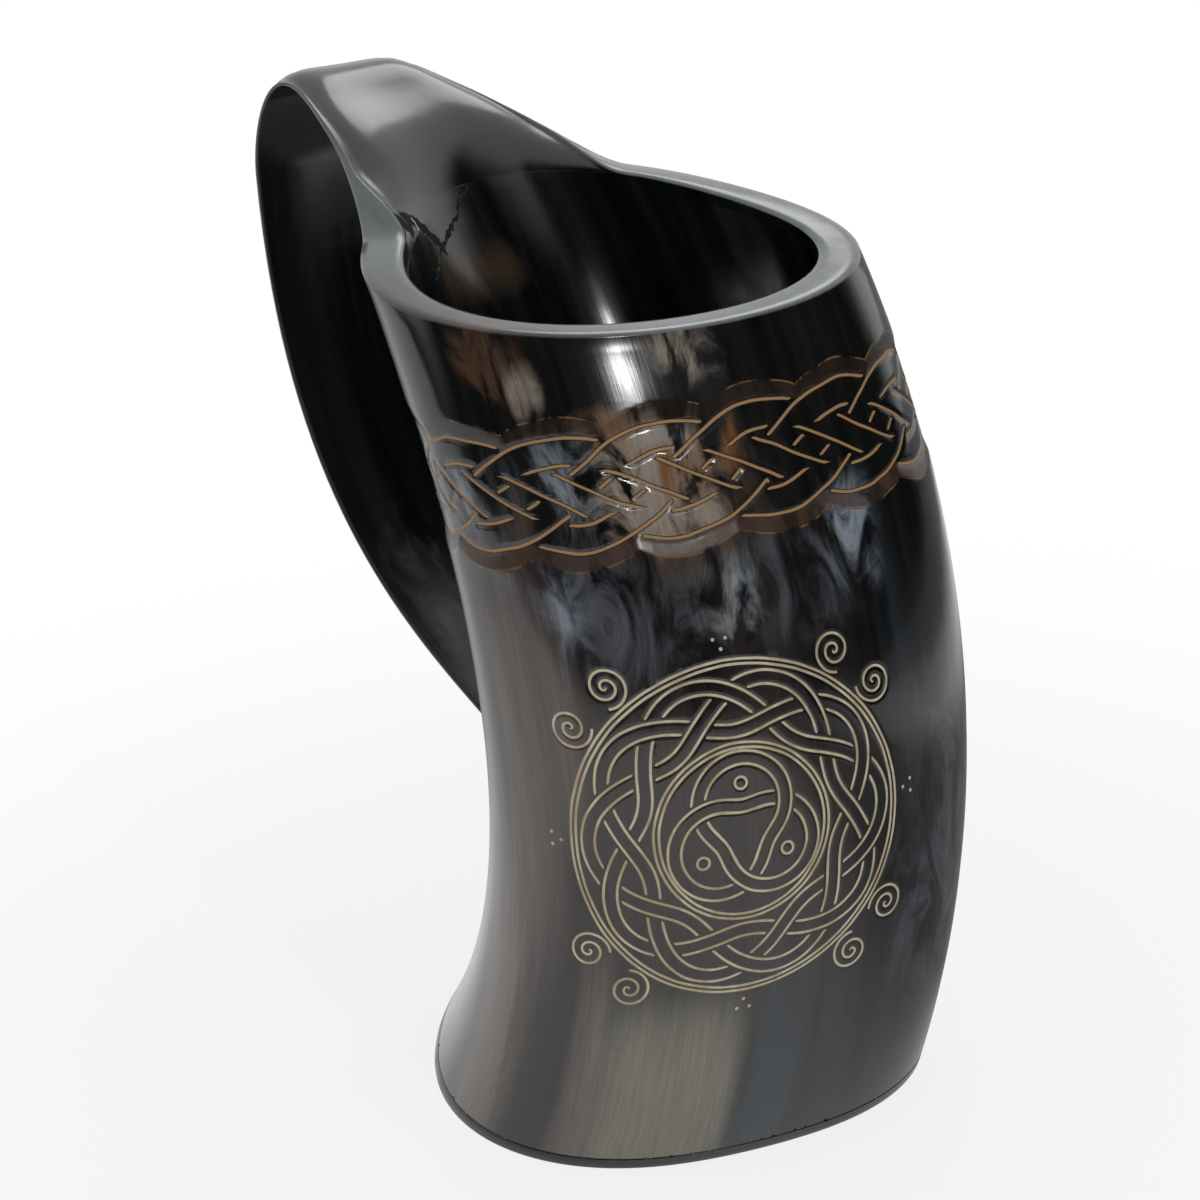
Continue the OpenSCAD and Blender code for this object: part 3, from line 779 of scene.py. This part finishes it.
def ring_mesh(name, rings, capped):
    """Solid of closed rings (angles run round, rings run along), with caps or joined end to end."""
    u = np.arange(RING_COLS) * 360.0 / RING_COLS
    points = np.concatenate([cup_at(u, z, SKIN + inset) for inset, z in rings])
    insets, heights = (np.concatenate([np.broadcast_to(v, u.shape) for v in values])
                       for values in zip(*rings))
    ids = np.arange(len(points)).reshape(len(rings), len(u))
    faces = quads(np.pad(ids, ((0, 0 if capped else 1), (0, 1)), mode="wrap"))
    if capped:
        faces += [ids[0, ::-1].tolist(), ids[-1].tolist()]
    angles = np.tile(u, len(rings))
    vectors = {"grain": grain_of(angles, heights, insets), "wall_place": wall_place(angles, heights)}
    return make_mesh(name, points, faces, {"inside": np.ones(len(points))}, vectors)


def mark_sharp(obj, angle, turn_out=True):
    """Keeps edges sharper than the angle crisp, and first turns the faces outwards if asked."""
    bm = bmesh.new()
    bm.from_mesh(obj.data)
    if turn_out:
        bmesh.ops.recalc_face_normals(bm, faces=bm.faces)
    for e in bm.edges:
        e.smooth = len(e.link_faces) == 2 and e.calc_face_angle(0.0) < math.radians(angle)
    bm.to_mesh(obj.data)
    bm.free()


def build_base_plug():
    """Disc with slightly broken edges, and the spigot on it."""
    low, high = PLATE_BEVEL, PLATE_BEVEL * 0.4
    rings = [(low, 0.0), (low * 0.3, low * 0.3), (0.0, low), (0.0, PLATE_T / 2), (0.0, PLATE_T - high),
             (high, PLATE_T)]
    rings += [(float(wall(z)) + PLUG_GAP, z) for z in (PLATE_T, 5.0, PLUG_H)]
    obj = ring_mesh("horn_base_plug", rings, True)
    mark_sharp(obj, SHARP_ANGLE)
    return obj


def build_base_glue():
    """Film that stops a little short of the outside, and beads on its edge."""
    deep = float(wall(PLATE_T)) + PLUG_GAP - FIT_GAP
    rings = [(deep, PLATE_T), (GLUE_SET_BACK, PLATE_T), (GLUE_SET_BACK, HORN_BOTTOM), (deep, HORN_BOTTOM)]
    film = ring_mesh("base_glue_line", rings, False)
    mark_sharp(film, SHARP_ANGLE)
    beads = build_glue_beads()
    bm = bmesh.new()
    for source in (film, beads):
        bm.from_mesh(source.data)
    bm.to_mesh(film.data)
    bm.free()
    bpy.data.objects.remove(beads)
    return film


def build_glue_beads():
    """Small beads of glue that came out of the seam here and there."""
    u = np.arange(360.0)
    points = cup_at(u, (PLATE_T + HORN_BOTTOM) / 2, GLUE_SET_BACK)
    seam = make_mesh("glue_beads", points, [])
    seam.data.edges.add(len(u))
    ends = np.stack([np.arange(len(u)), (np.arange(len(u)) + 1) % len(u)], 1)
    seam.data.edges.foreach_set("vertices", ends.ravel().tolist())
    tree, given = new_geometry_tree("beads_along_seam", {
        "Spacing": "Float", "Share kept": "Float", "Smallest": "Vector", "Largest": "Vector",
        "Glue": "Material"})
    curve = add(tree, "GeometryNodeMeshToCurve", given["Geometry"])
    spots = add(tree, "GeometryNodeResampleCurve", curve, Length=given["Spacing"], mode="LENGTH")
    kept = add(tree, "FunctionNodeRandomValue", Probability=given["Share kept"], Seed=11,
               data_type="BOOLEAN", out=3)
    size = add(tree, "FunctionNodeRandomValue", given["Smallest"], given["Largest"], Seed=5,
               data_type="FLOAT_VECTOR")
    bead = add(tree, "GeometryNodeMeshIcoSphere", Radius=1.0, Subdivisions=2)
    beads = add(tree, "GeometryNodeInstanceOnPoints", spots, Selection=kept, Instance=bead, Scale=size)
    end_geometry_tree(tree, beads, given["Glue"])
    grow(seam, tree, {"Spacing": 2.1 * MM, "Share kept": 0.16, "Smallest": (0.2 * MM, 0.2 * MM, 0.12 * MM),
                      "Largest": (0.55 * MM, 0.55 * MM, 0.26 * MM)})
    return seam


def build_floor_seal():
    """Level resin, drawn up in a curve at the wall."""
    top = PLUG_H + SEAL_T
    rings = [(float(wall(PLUG_H)) + FIT_GAP, PLUG_H)]
    rings += [(float(wall(z)) + FIT_GAP, z) for z in np.linspace(PLUG_H + 1, top + SEAL_CLIMB, 4)]
    for t in np.linspace(0.1, 1, 10):
        inset = float(wall(top)) + FIT_GAP + SEAL_CURVE_W * t
        rings.append((inset, top + SEAL_CLIMB * (1 - t) ** SEAL_CURVE_POWER))
    rings += [(float(wall(top)) + SEAL_CURVE_W + d, top) for d in (4.0, 14.0, 24.0)]
    obj = ring_mesh("poured_floor_seal", rings, True)
    mark_sharp(obj, SHARP_ANGLE)
    return obj


def build_lining():
    """Film of lacquer that thins to nothing towards the rim."""
    bottom = PLUG_H + SEAL_T + SEAL_CLIMB + FIT_GAP
    u = np.arange(RING_COLS) * 360.0 / RING_COLS
    face, back = [], []
    for t in np.linspace(0, 1, 60):
        z = mix(bottom, rim_at(u) - LINING_DROP, t)
        fade = ease((1 - t) / LINING_FADE)
        back.append((wall(z) + mix(0.0, FIT_GAP, fade), z))
        face.append((wall(z) + mix(LINING_LEAST, FIT_GAP + LINING_T, fade), z))
    obj = ring_mesh("clear_lacquer_lining", back + face[::-1], False)
    mark_sharp(obj, SHARP_ANGLE)
    return obj


def build_tail_glue():
    """Pad that has spread a little past the end of the handle, thinner at its edge."""
    rows, cols = 14, 36
    strap2, _ = handle_rows(1, np.array([0.0]))
    low, high = float(strap2[-1, 0, 2]) - PAD_SPREAD, TAIL_H + PAD_SPREAD
    half_h, mid_h = (high - low) / 2, (high + low) / 2
    half_y = TAIL_W + PAD_SPREAD
    r, a = np.meshgrid(np.arange(rows + 1) / rows, math.tau * np.arange(cols) / cols, indexing="ij")
    c, s = (np.sign(v) * np.abs(v) ** PAD_SQUARENESS for v in (np.cos(a), np.sin(a)))
    y, z = TAIL_Y + half_y * r * c, mid_h + half_h * r * s
    thick = (TAIL_GLUE_T - 2 * FIT_GAP) * (1 - PAD_THINNING * r ** 6)
    x = back_x(y, z) - FIT_GAP
    points = np.stack([[x, y, z], [x - thick, y, z]]).transpose(0, 2, 3, 1).reshape(-1, 3)
    ids = np.arange(len(points)).reshape(2, rows + 1, cols)
    ids = np.pad(ids, ((0, 0), (0, 0), (0, 1)), mode="wrap")
    faces = [face[::-1] for face in quads(ids[0])] + quads(ids[1]) + quads(ids[:, -1])
    obj = make_mesh("tail_glue_pad", points, faces)
    bm = bmesh.new()
    bm.from_mesh(obj.data)
    bmesh.ops.remove_doubles(bm, verts=bm.verts, dist=1e-7)
    bmesh.ops.recalc_face_normals(bm, faces=bm.faces)
    bm.to_mesh(obj.data)
    bm.free()
    return obj


# Materials


def linear(hex_colour):
    """Linear RGBA of an sRGB colour such as "#6f6a58"."""
    parts = [int(hex_colour[i:i + 2], 16) / 255 for i in (1, 3, 5)]
    return tuple(c / 12.92 if c <= 0.04045 else ((c + 0.055) / 1.055) ** 2.4 for c in parts) + (1.0,)


def new_material(name):
    """Empty material and its node tree."""
    material = bpy.data.materials.new(name)
    material.use_nodes = True
    material.node_tree.nodes.clear()
    return material, material.node_tree


def finish_material(tree, colour, rough, height, distance_mm, ior):
    """Surface with a bumpy polish."""
    normal = add(tree, "Bump", Height=height, Distance=distance_mm * MM, Strength=1.0)
    shader = add(tree, "BsdfPrincipled", Base_Color=colour, Roughness=rough, IOR=ior, Normal=normal)
    add(tree, "OutputMaterial", Surface=shader, out=None)


def line_distance(tree, place, start, end):
    """Distance in metres from a place to the straight line between two ends given in millimetres."""
    a = Vector(start + (0.0,)) * MM
    way = Vector(end + (0.0,)) * MM - a
    here = add(tree, "VectorMath subtract", place, a)
    share = add(tree, "VectorMath dot product", here, way / way.length_squared, out="Value")
    foot = add(tree, "VectorMath scale", tuple(way), Scale=add(tree, "Clamp", share))
    return add(tree, "VectorMath distance", here, foot, out="Value")


def stroke_mask(tree, place, points, half_widths):
    """1 on a broken line of strokes, each with its own half width in millimetres."""
    strokes = []
    for start, end, width in zip(points[:-1], points[1:], half_widths):
        away = line_distance(tree, place, start, end)
        strokes.append(add(tree, "MapRange", away, 1.15 * width * MM, 0.8 * width * MM))
    return fold(tree, "Math maximum", strokes)


def lay_over(tree, colour, marks, where):
    """Lays shades over a colour, one after another, each by its share of a place."""
    for mark, shade in marks:
        colour = add(tree, "MixRGB", add(tree, "Math multiply", mark, where), colour, shade)
    return colour


# Flaws on the inner wall beside the handle, and a painted glint on the chip, across and up in millimetres
# as wall_place gives them
CRACK = ((1.2, 154.6), (-2.8, 152.5), (-4.3, 150.9), (-7.3, 149.5), (-11.6, 147.8), (-16.5, 146.3))
CRACK_WIDTHS = (0.2, 0.28, 0.36, 0.42, 0.28)
CRACK_END = ((-16.5, 146.3), (-19.2, 144.8), (-22.4, 143.6))
CHIP = ((-26.2, 154.5), (-24.6, 152.1), (-23.4, 154.1), (-20.6, 153.1), (-17.6, 150.8), (-14.4, 148.2),
        (-13.0, 146.5))
CHIP_WIDTHS = (1.1, 0.7, 1.2, 0.75, 0.85, 0.5)
CHIP_PAINTED_GLINT = ((-21.4, 154.1), (-20.6, 151.7))
STAIN = ((-16.0, 142.5), (1.0, 141.0))
FLAW_WANDER = (1.1, 1.6)


def marbling(tree, streak, fibre, cloud, masks):
    """Near black with faint streaks, and the natural colours over it in streaks or in smoky clouds."""
    black, grey = linear("#0b0c0d"), linear("#1d1c1c")
    colour = add(tree, "MixRGB", add(tree, "MapRange", streak, 0.35, 0.7), black, grey)
    fine = add(tree, "MapRange", fibre, 0.35, 0.65)
    for tone, (shade, broken, _) in TONES.items():
        texture = streak if broken < 0.6 else cloud
        uneven = add(tree, "Math multiply add", texture, 2.4 * broken, 0.75 - 1.2 * broken)
        share = add(tree, "Math multiply", masks[tone], uneven)
        share = add(tree, "MapRange", share, 0.12, 0.8, interpolation_type="SMOOTHSTEP")
        deep = tuple(0.75 * c for c in linear(shade)[:3]) + (1.0,)
        colour = add(tree, "MixRGB", share, colour, add(tree, "MixRGB", fine, linear(shade), deep))
    return colour


def inner_flaws(tree, wall_spot, cloud, inside):
    """A brown stain, and a chip and a crack beside the handle with painted shade in them and a painted
    glint on the chip: shares with shades, and the hollows.
    """
    spot = wandered(tree, wall_spot, *FLAW_WANDER)
    stain = add(tree, "MapRange", line_distance(tree, spot, *STAIN), 5.5 * MM, 1.0 * MM)
    stain = add(tree, "Math multiply", stain, add(tree, "MapRange", cloud, 0.3, 0.55))
    pale = add(tree, "Math multiply", stroke_mask(tree, spot, CRACK_END, (0.16, 0.12)), 0.7)
    chip = stroke_mask(tree, spot, CHIP, CHIP_WIDTHS)
    shaded_hollow = add(tree, "Math maximum", chip, stroke_mask(tree, spot, CRACK, CRACK_WIDTHS))
    shaded_hollow = add(tree, "Math multiply", shaded_hollow, inside)
    # Painted glint: a short pale streak on the chip
    painted_glint = stroke_mask(tree, wall_spot, CHIP_PAINTED_GLINT, (0.28,))
    # The near black in the chip and the crack is painted shade; the pale grey streak on the chip is a
    # painted glint
    return ((stain, linear("#3d3122")), (shaded_hollow, linear("#020202")), (pale, linear("#8a887c")),
            (painted_glint, linear("#a5a9ac"))), shaded_hollow


def carving_shades(tree, grain, front, cloud):
    """Cut facets, brinks and lines of the carving: shares with shades, and how raw the horn is there."""
    cuts, ropes, within, height = braid_fields(tree, grain)
    line = medallion_field(tree, front)
    facet_with_painted_shade = fold(tree, "Math multiply", [
        add(tree, "MapRange", within, 0.0, 0.4),
        add(tree, "MapRange", ropes, -0.1, 0.3),
        add(tree, "Math greater than", add(tree, "Math absolute", height), FACET_FROM),
        # Facets above the ropes get less of the brown and stay darker, as painted shade
        add(tree, "MapRange", height, -6.0, 6.0, 0.95, 0.4),
        add(tree, "MapRange", cloud, 0.35, 0.62, 0.3, 1.0),
    ])
    brink = add(tree, "MapRange", add(tree, "Math absolute", within), 0.22, 0.08)
    brink = add(tree, "Math multiply", brink, add(tree, "MapRange", cloud, 0.44, 0.56))
    cut_edge = add(tree, "MapRange", cuts, 0.16, 0.02)
    cut = add(tree, "MapRange", cuts, 0.0, -0.14)
    in_line = add(tree, "MapRange", line, 0.05, -0.05)
    paler = add(tree, "MapRange", cloud, 0.4, 0.6)
    cream = add(tree, "MixRGB", paler, linear("#cfc2a2"), linear("#b09d79"))
    raw = fold(tree, "Math maximum", [cut, in_line, add(tree, "Math multiply", facet_with_painted_shade, 0.45)])
    return ((facet_with_painted_shade, linear("#4a3322")), (brink, linear("#7a5837")), (cut_edge, linear("#28180e")),
            (cut, linear("#a67f52")), (in_line, cream)), raw


def horn_material():
    """Polished buffalo horn: near black, with streaks along its length, smoky pale marbling and
    translucent olive near the base. Its polish is a little wavy from hand work. Cuts show raw horn,
    tan in the braid and cream in the fine lines, and are dull."""
    material, tree = new_material("polished_buffalo_horn")
    grain, front, wall_spot = (add(tree, "Attribute", attribute_name=name, out="Vector")
                               for name in ("grain", "front", "wall_place"))
    masks = {name: add(tree, "Attribute", attribute_name=name, out="Fac")
             for name in ("outer", "inside", "wear_and_painted_light", "raw_edge", *TONES)}
    streak, fibre, cloud = (
        add(tree, "TexNoise", Vector=add(tree, "VectorMath multiply", grain, (1, 1, length)),
            Scale=1 / (size * MM), Detail=detail, Roughness=0.6, Distortion=warp)
        for size, length, detail, warp in (
            (4.0, 0.06, 5.0, 0.2), (0.45, 0.04, 3.0, 0.0), (8.0, 0.45, 6.0, 1.6)))
    wave = add(tree, "TexNoise", Vector=grain, Scale=1 / (14.0 * MM), Detail=2.0)

    colour = marbling(tree, streak, fibre, cloud, masks)
    # Inside of the cup and handle: a darker black than the outside, as painted shade
    black, grey = linear("#07080a"), linear("#15181b")
    inner = add(tree, "MixRGB", add(tree, "MapRange", streak, 0.4, 0.75), black, grey)
    colour = add(tree, "MixRGB", masks["inside"], colour, inner)
    flaws, shaded_hollow = inner_flaws(tree, wall_spot, cloud, masks["inside"])
    colour = lay_over(tree, colour, flaws, masks["inside"])

    # Sawn edges, polished at the rim and left rawer down the handle; the rim's pale grey is partly a
    # painted reflection, and its dull stretch painted shade
    for edge, low, high, shade in (("wear_and_painted_light", 0.6, 1.0, "#5b6361"), ("raw_edge", 0.3, 0.9, "#5f5448")):
        share = add(tree, "MapRange", streak, 0.3, 0.7, low, high)
        colour = lay_over(tree, colour, ((share, linear(shade)),), masks[edge])

    marks, raw = carving_shades(tree, grain, front, cloud)
    colour = lay_over(tree, colour, marks, masks["outer"])
    raw = add(tree, "Math multiply", raw, masks["outer"])
    raw = add(tree, "Math maximum", raw, add(tree, "Math multiply", shaded_hollow, 1.6))
    polish = add(tree, "MapRange", streak, 0.3, 0.7, 0.1, 0.17)
    polish = add(tree, "Math multiply add", fibre, 0.05, polish)
    rough = add(tree, "MapRange", raw, 0.0, 1.6, polish, 0.9)
    relief = add(tree, "Math multiply add", fibre, 0.06, wave)
    relief = add(tree, "Math multiply add", shaded_hollow, -1.2, relief)
    finish_material(tree, colour, rough, relief, 0.12, 1.55)
    return material


def spotted_material(name, shades, spot_mm, grit_mm, spots, rough, bump_mm, ior):
    """Two shades in soft spots, with fine grit. Spots gives the noise values between which the second
    shade comes in, and rough the roughness of the first and the second."""
    material, tree = new_material(name)
    place = add(tree, "TexCoord", out="Object")
    cloud, grit = (add(tree, "TexNoise", Vector=place, Scale=1 / (size * MM), Detail=4.0)
                   for size in (spot_mm, grit_mm))
    share = add(tree, "MapRange", cloud, *spots, interpolation_type="SMOOTHSTEP")
    colour = add(tree, "MixRGB", share, *(linear(shade) for shade in shades))
    finish_material(tree, colour, add(tree, "MapRange", share, 0.0, 1.0, *rough), grit, bump_mm, ior)
    return material


def disc_material():
    """Horn cut across its grain and polished: a plain dark disc, a little cloudy."""
    return spotted_material("polished_horn_disc", ("#0f0e0e", "#211b18"), 6.0, 0.4, (0.4, 0.7),
                            (0.22, 0.34), 0.02, 1.55)


def glue_material(name, shades, spot_mm):
    """Set glue: dull amber, with paler crumbs."""
    return spotted_material(name, shades, spot_mm, 0.3, (0.6, 0.68), (0.4, 0.65), 0.03, 1.5)


def resin_material():
    """Poured dark resin: glossy, almost level."""
    return spotted_material("poured_resin", ("#12100d", "#1e1914"), 12.0, 5.0, (0.35, 0.7),
                            (0.07, 0.12), 0.02, 1.52)


# Studio

# Camera that sees the object as the photograph does: its place round and above the object, its distance,
# the point it looks at (to the right and up), its roll, and its focal length and picture in pixels
CAMERA_PLACE = (49.592, 21.373)
CAMERA_AWAY = 451.368
CAMERA_AIM = (-7.645, 88.978)
CAMERA_ROLL = -2.939
FOCAL_LENGTH, PICTURE_W = 2548.5, 1200.0
SENSOR_W = 36.0

# Lights look at this point in metres
LIGHT_AIM = Vector((0.0, 0.0, 0.09))

# Floor: its half size, where it turns plain white, and its dark stretches on the +Y side, in metres
FLOOR_HALF = 4000.0
PAPER_END, WHITE_START = 0.08, 0.3
DARK_SHARE = 0.75
DARK_MIDDLE, DARK_HALF_W, DARK_END = 0.13, 0.07, 0.14
FAR_DARK_START, FAR_DARK_FULL = 0.36, 0.5


def build_stage():
    """White paper floor that fades to plain white away from the object, and keeps its shadow."""
    corners = [(x * FLOOR_HALF, y * FLOOR_HALF, 0) for x, y in ((-1, -1), (1, -1), (1, 1), (-1, 1))]
    floor = make_mesh("studio_floor", corners, [(0, 1, 2, 3)])
    material, tree = new_material("studio_paper")
    place = add(tree, "TexCoord", out="Object")
    away = add(tree, "VectorMath length", place, out="Value")
    grit = add(tree, "TexNoise", Vector=place, Scale=1 / (2.0 * MM), Detail=2.0)
    paper = add(tree, "BsdfDiffuse", add(tree, "MixRGB", grit, linear("#f1f1f1"), linear("#f5f5f5")))
    white = add(tree, "Emission", (1, 1, 1, 1), 1.0)
    share = add(tree, "MapRange", away, PAPER_END, WHITE_START, 0.8, 1.0, interpolation_type="SMOOTHSTEP")
    share = add(tree, "Math multiply", share, sight_ray(tree))
    lit = add(tree, "MixShader", share, paper, white)

    # Dark near and far on its +Y side, in reflections alone, as from dark things out of sight
    _, y, _ = add(tree, "SeparateXYZ", place, out=None)
    apart = add(tree, "Math absolute", add(tree, "Math subtract", y, DARK_MIDDLE))
    near = add(tree, "MapRange", apart, DARK_HALF_W, DARK_END, DARK_SHARE, 0.0)
    far = add(tree, "MapRange", y, FAR_DARK_START, FAR_DARK_FULL, 0.0, DARK_SHARE)
    dark = add(tree, "Math maximum", near, far)
    dark = add(tree, "Math multiply", dark, add(tree, "LightPath", out="Is Glossy Ray"))
    black = add(tree, "Emission", (0, 0, 0, 1), 0.0)
    add(tree, "OutputMaterial", Surface=add(tree, "MixShader", dark, lit, black), out=None)
    floor.data.materials.append(material)
    return floor


def sight_ray(tree):
    """1 for rays that look at the backdrop straight, in a reflection or through something clear."""
    path = add(tree, "LightPath", out=None)
    seen = add(tree, "Math maximum", path["Is Camera Ray"], path["Is Glossy Ray"])
    return add(tree, "Math maximum", seen, path["Is Transmission Ray"])


def build_flag(name, azimuths, elevations, fade=14.0):
    """Black cloth that stands round the object at a distance and darkens part of its reflections. It
    thins out towards its edges."""
    away, step = 1500.0, 4.0
    az = np.linspace(*azimuths, int((azimuths[1] - azimuths[0]) / step) + 1)
    el = np.linspace(*elevations, int((elevations[1] - elevations[0]) / step) + 1)
    points, solid = [], []
    for e in el:
        for a in az:
            points.append(direction(a, e) * away)
            margin = min(a - azimuths[0], azimuths[1] - a, e - elevations[0], elevations[1] - e)
            solid.append(float(ease(margin / fade)))
    faces = quads(np.arange(len(points)).reshape(len(el), len(az)))
    flag = make_mesh(name, points, faces, {"solid": solid})
    material, tree = new_material("black_felt")
    place = add(tree, "TexCoord", out="Object")
    nap = add(tree, "TexNoise", Vector=place, Scale=1 / (6.0 * MM), Detail=2.0)
    felt = add(tree, "BsdfDiffuse", add(tree, "MixRGB", nap, linear("#060606"), linear("#0c0c0c")))
    solid_share = add(tree, "Attribute", attribute_name="solid", out="Fac")
    both = add(tree, "MixShader", solid_share, add(tree, "BsdfTransparent"), felt)
    add(tree, "OutputMaterial", Surface=both, out=None)
    flag.data.materials.append(material)
    flag.visible_camera = flag.visible_diffuse = flag.visible_shadow = flag.visible_transmission = False
    return flag


def build_world():
    """Soft, slightly blue light from all round, seen as plain white."""
    world = bpy.data.worlds.new("studio")
    bpy.context.scene.world = world
    world.use_nodes = True
    tree = world.node_tree
    tree.nodes.clear()
    soft = add(tree, "Background", (0.93, 0.96, 1.0, 1), 0.62)
    white = add(tree, "Background", (1, 1, 1, 1), 1.0)
    add(tree, "OutputWorld", Surface=add(tree, "MixShader", sight_ray(tree), soft, white), out=None)


def direction(azimuth, elevation):
    """Unit vector towards a place at an azimuth from -Y towards +X and a height above level."""
    a, e = math.radians(azimuth), math.radians(elevation)
    return Vector((math.sin(a) * math.cos(e), -math.cos(a) * math.cos(e), math.sin(e)))


def add_light(name, azimuth, elevation, away, wide, high, watts):
    """Soft oval lamp, with its distance and size in metres."""
    data = bpy.data.lights.new(name, "AREA")
    data.shape = "ELLIPSE"
    data.size = wide
    data.size_y = high
    data.energy = watts
    light = bpy.data.objects.new(name, data)
    bpy.context.collection.objects.link(light)
    light.location = LIGHT_AIM + direction(azimuth, elevation) * away
    light.rotation_euler = direction(azimuth, elevation).to_track_quat("Z", "Y").to_euler()
    return light


def build_camera():
    """Camera at the photograph's viewpoint."""
    back = direction(*CAMERA_PLACE)
    right = direction(CAMERA_PLACE[0] + 90, 0)
    up = back.cross(right)
    r = math.radians(CAMERA_ROLL)
    tilted_right = right * math.cos(r) + up * math.sin(r)
    tilted_up = up * math.cos(r) - right * math.sin(r)
    target = right * CAMERA_AIM[0] + Vector((0.0, 0.0, CAMERA_AIM[1]))
    data = bpy.data.cameras.new("photo_camera")
    data.sensor_width = SENSOR_W
    data.lens = SENSOR_W * FOCAL_LENGTH / PICTURE_W
    data.clip_start = 0.01
    camera = bpy.data.objects.new("photo_camera", data)
    bpy.context.collection.objects.link(camera)
    turn = Matrix((tilted_right, tilted_up, back)).transposed().to_4x4()
    camera.matrix_world = Matrix.Translation((target + back * CAMERA_AWAY) * MM) @ turn
    bpy.context.scene.camera = camera


build_camera()
build_world()
stage = [
    build_stage(),
    build_flag("flag_front", (-38, 108), (-20, 76)),
    build_flag("flag_left", (-66, -8), (-20, 14)),
    build_flag("flag_right", (92, 180), (-20, 66)),
    build_flag("flag_back", (-160, -100), (-20, 9), 5.0),
]
add_light("key", 80, 40, away=1.1, wide=0.056, high=0.056, watts=1.3)
add_light("window", -140, 41, away=1.2, wide=0.3, high=0.5, watts=0.9)
bpy.context.scene.view_settings.view_transform = "Standard"

horn = horn_material()
pieces = [
    (carve(build_horn(), horn), horn, "horn_body", "horn"),
    (build_base_plug(), disc_material(), "base_plug", "plug"),
    (build_base_glue(), glue_material("base_glue_line", ("#1c1612", "#b7a77f"), 1.1), "base_glue", "glue"),
    (build_floor_seal(), resin_material(), "floor_seal", "resin"),
    (build_lining(), horn, "clear_lining", "lining"),
    (build_tail_glue(), glue_material("tail_glue_pad", ("#3c3020", "#a2946c"), 1.6), "tail_glue", "glue"),
]
mark_sharp(pieces[0][0], HORN_SHARP_ANGLE, turn_out=False)
for piece, material, node, slot in pieces:
    piece.data.materials.clear()
    piece.data.materials.append(material)
    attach(piece, "root")
    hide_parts(node)
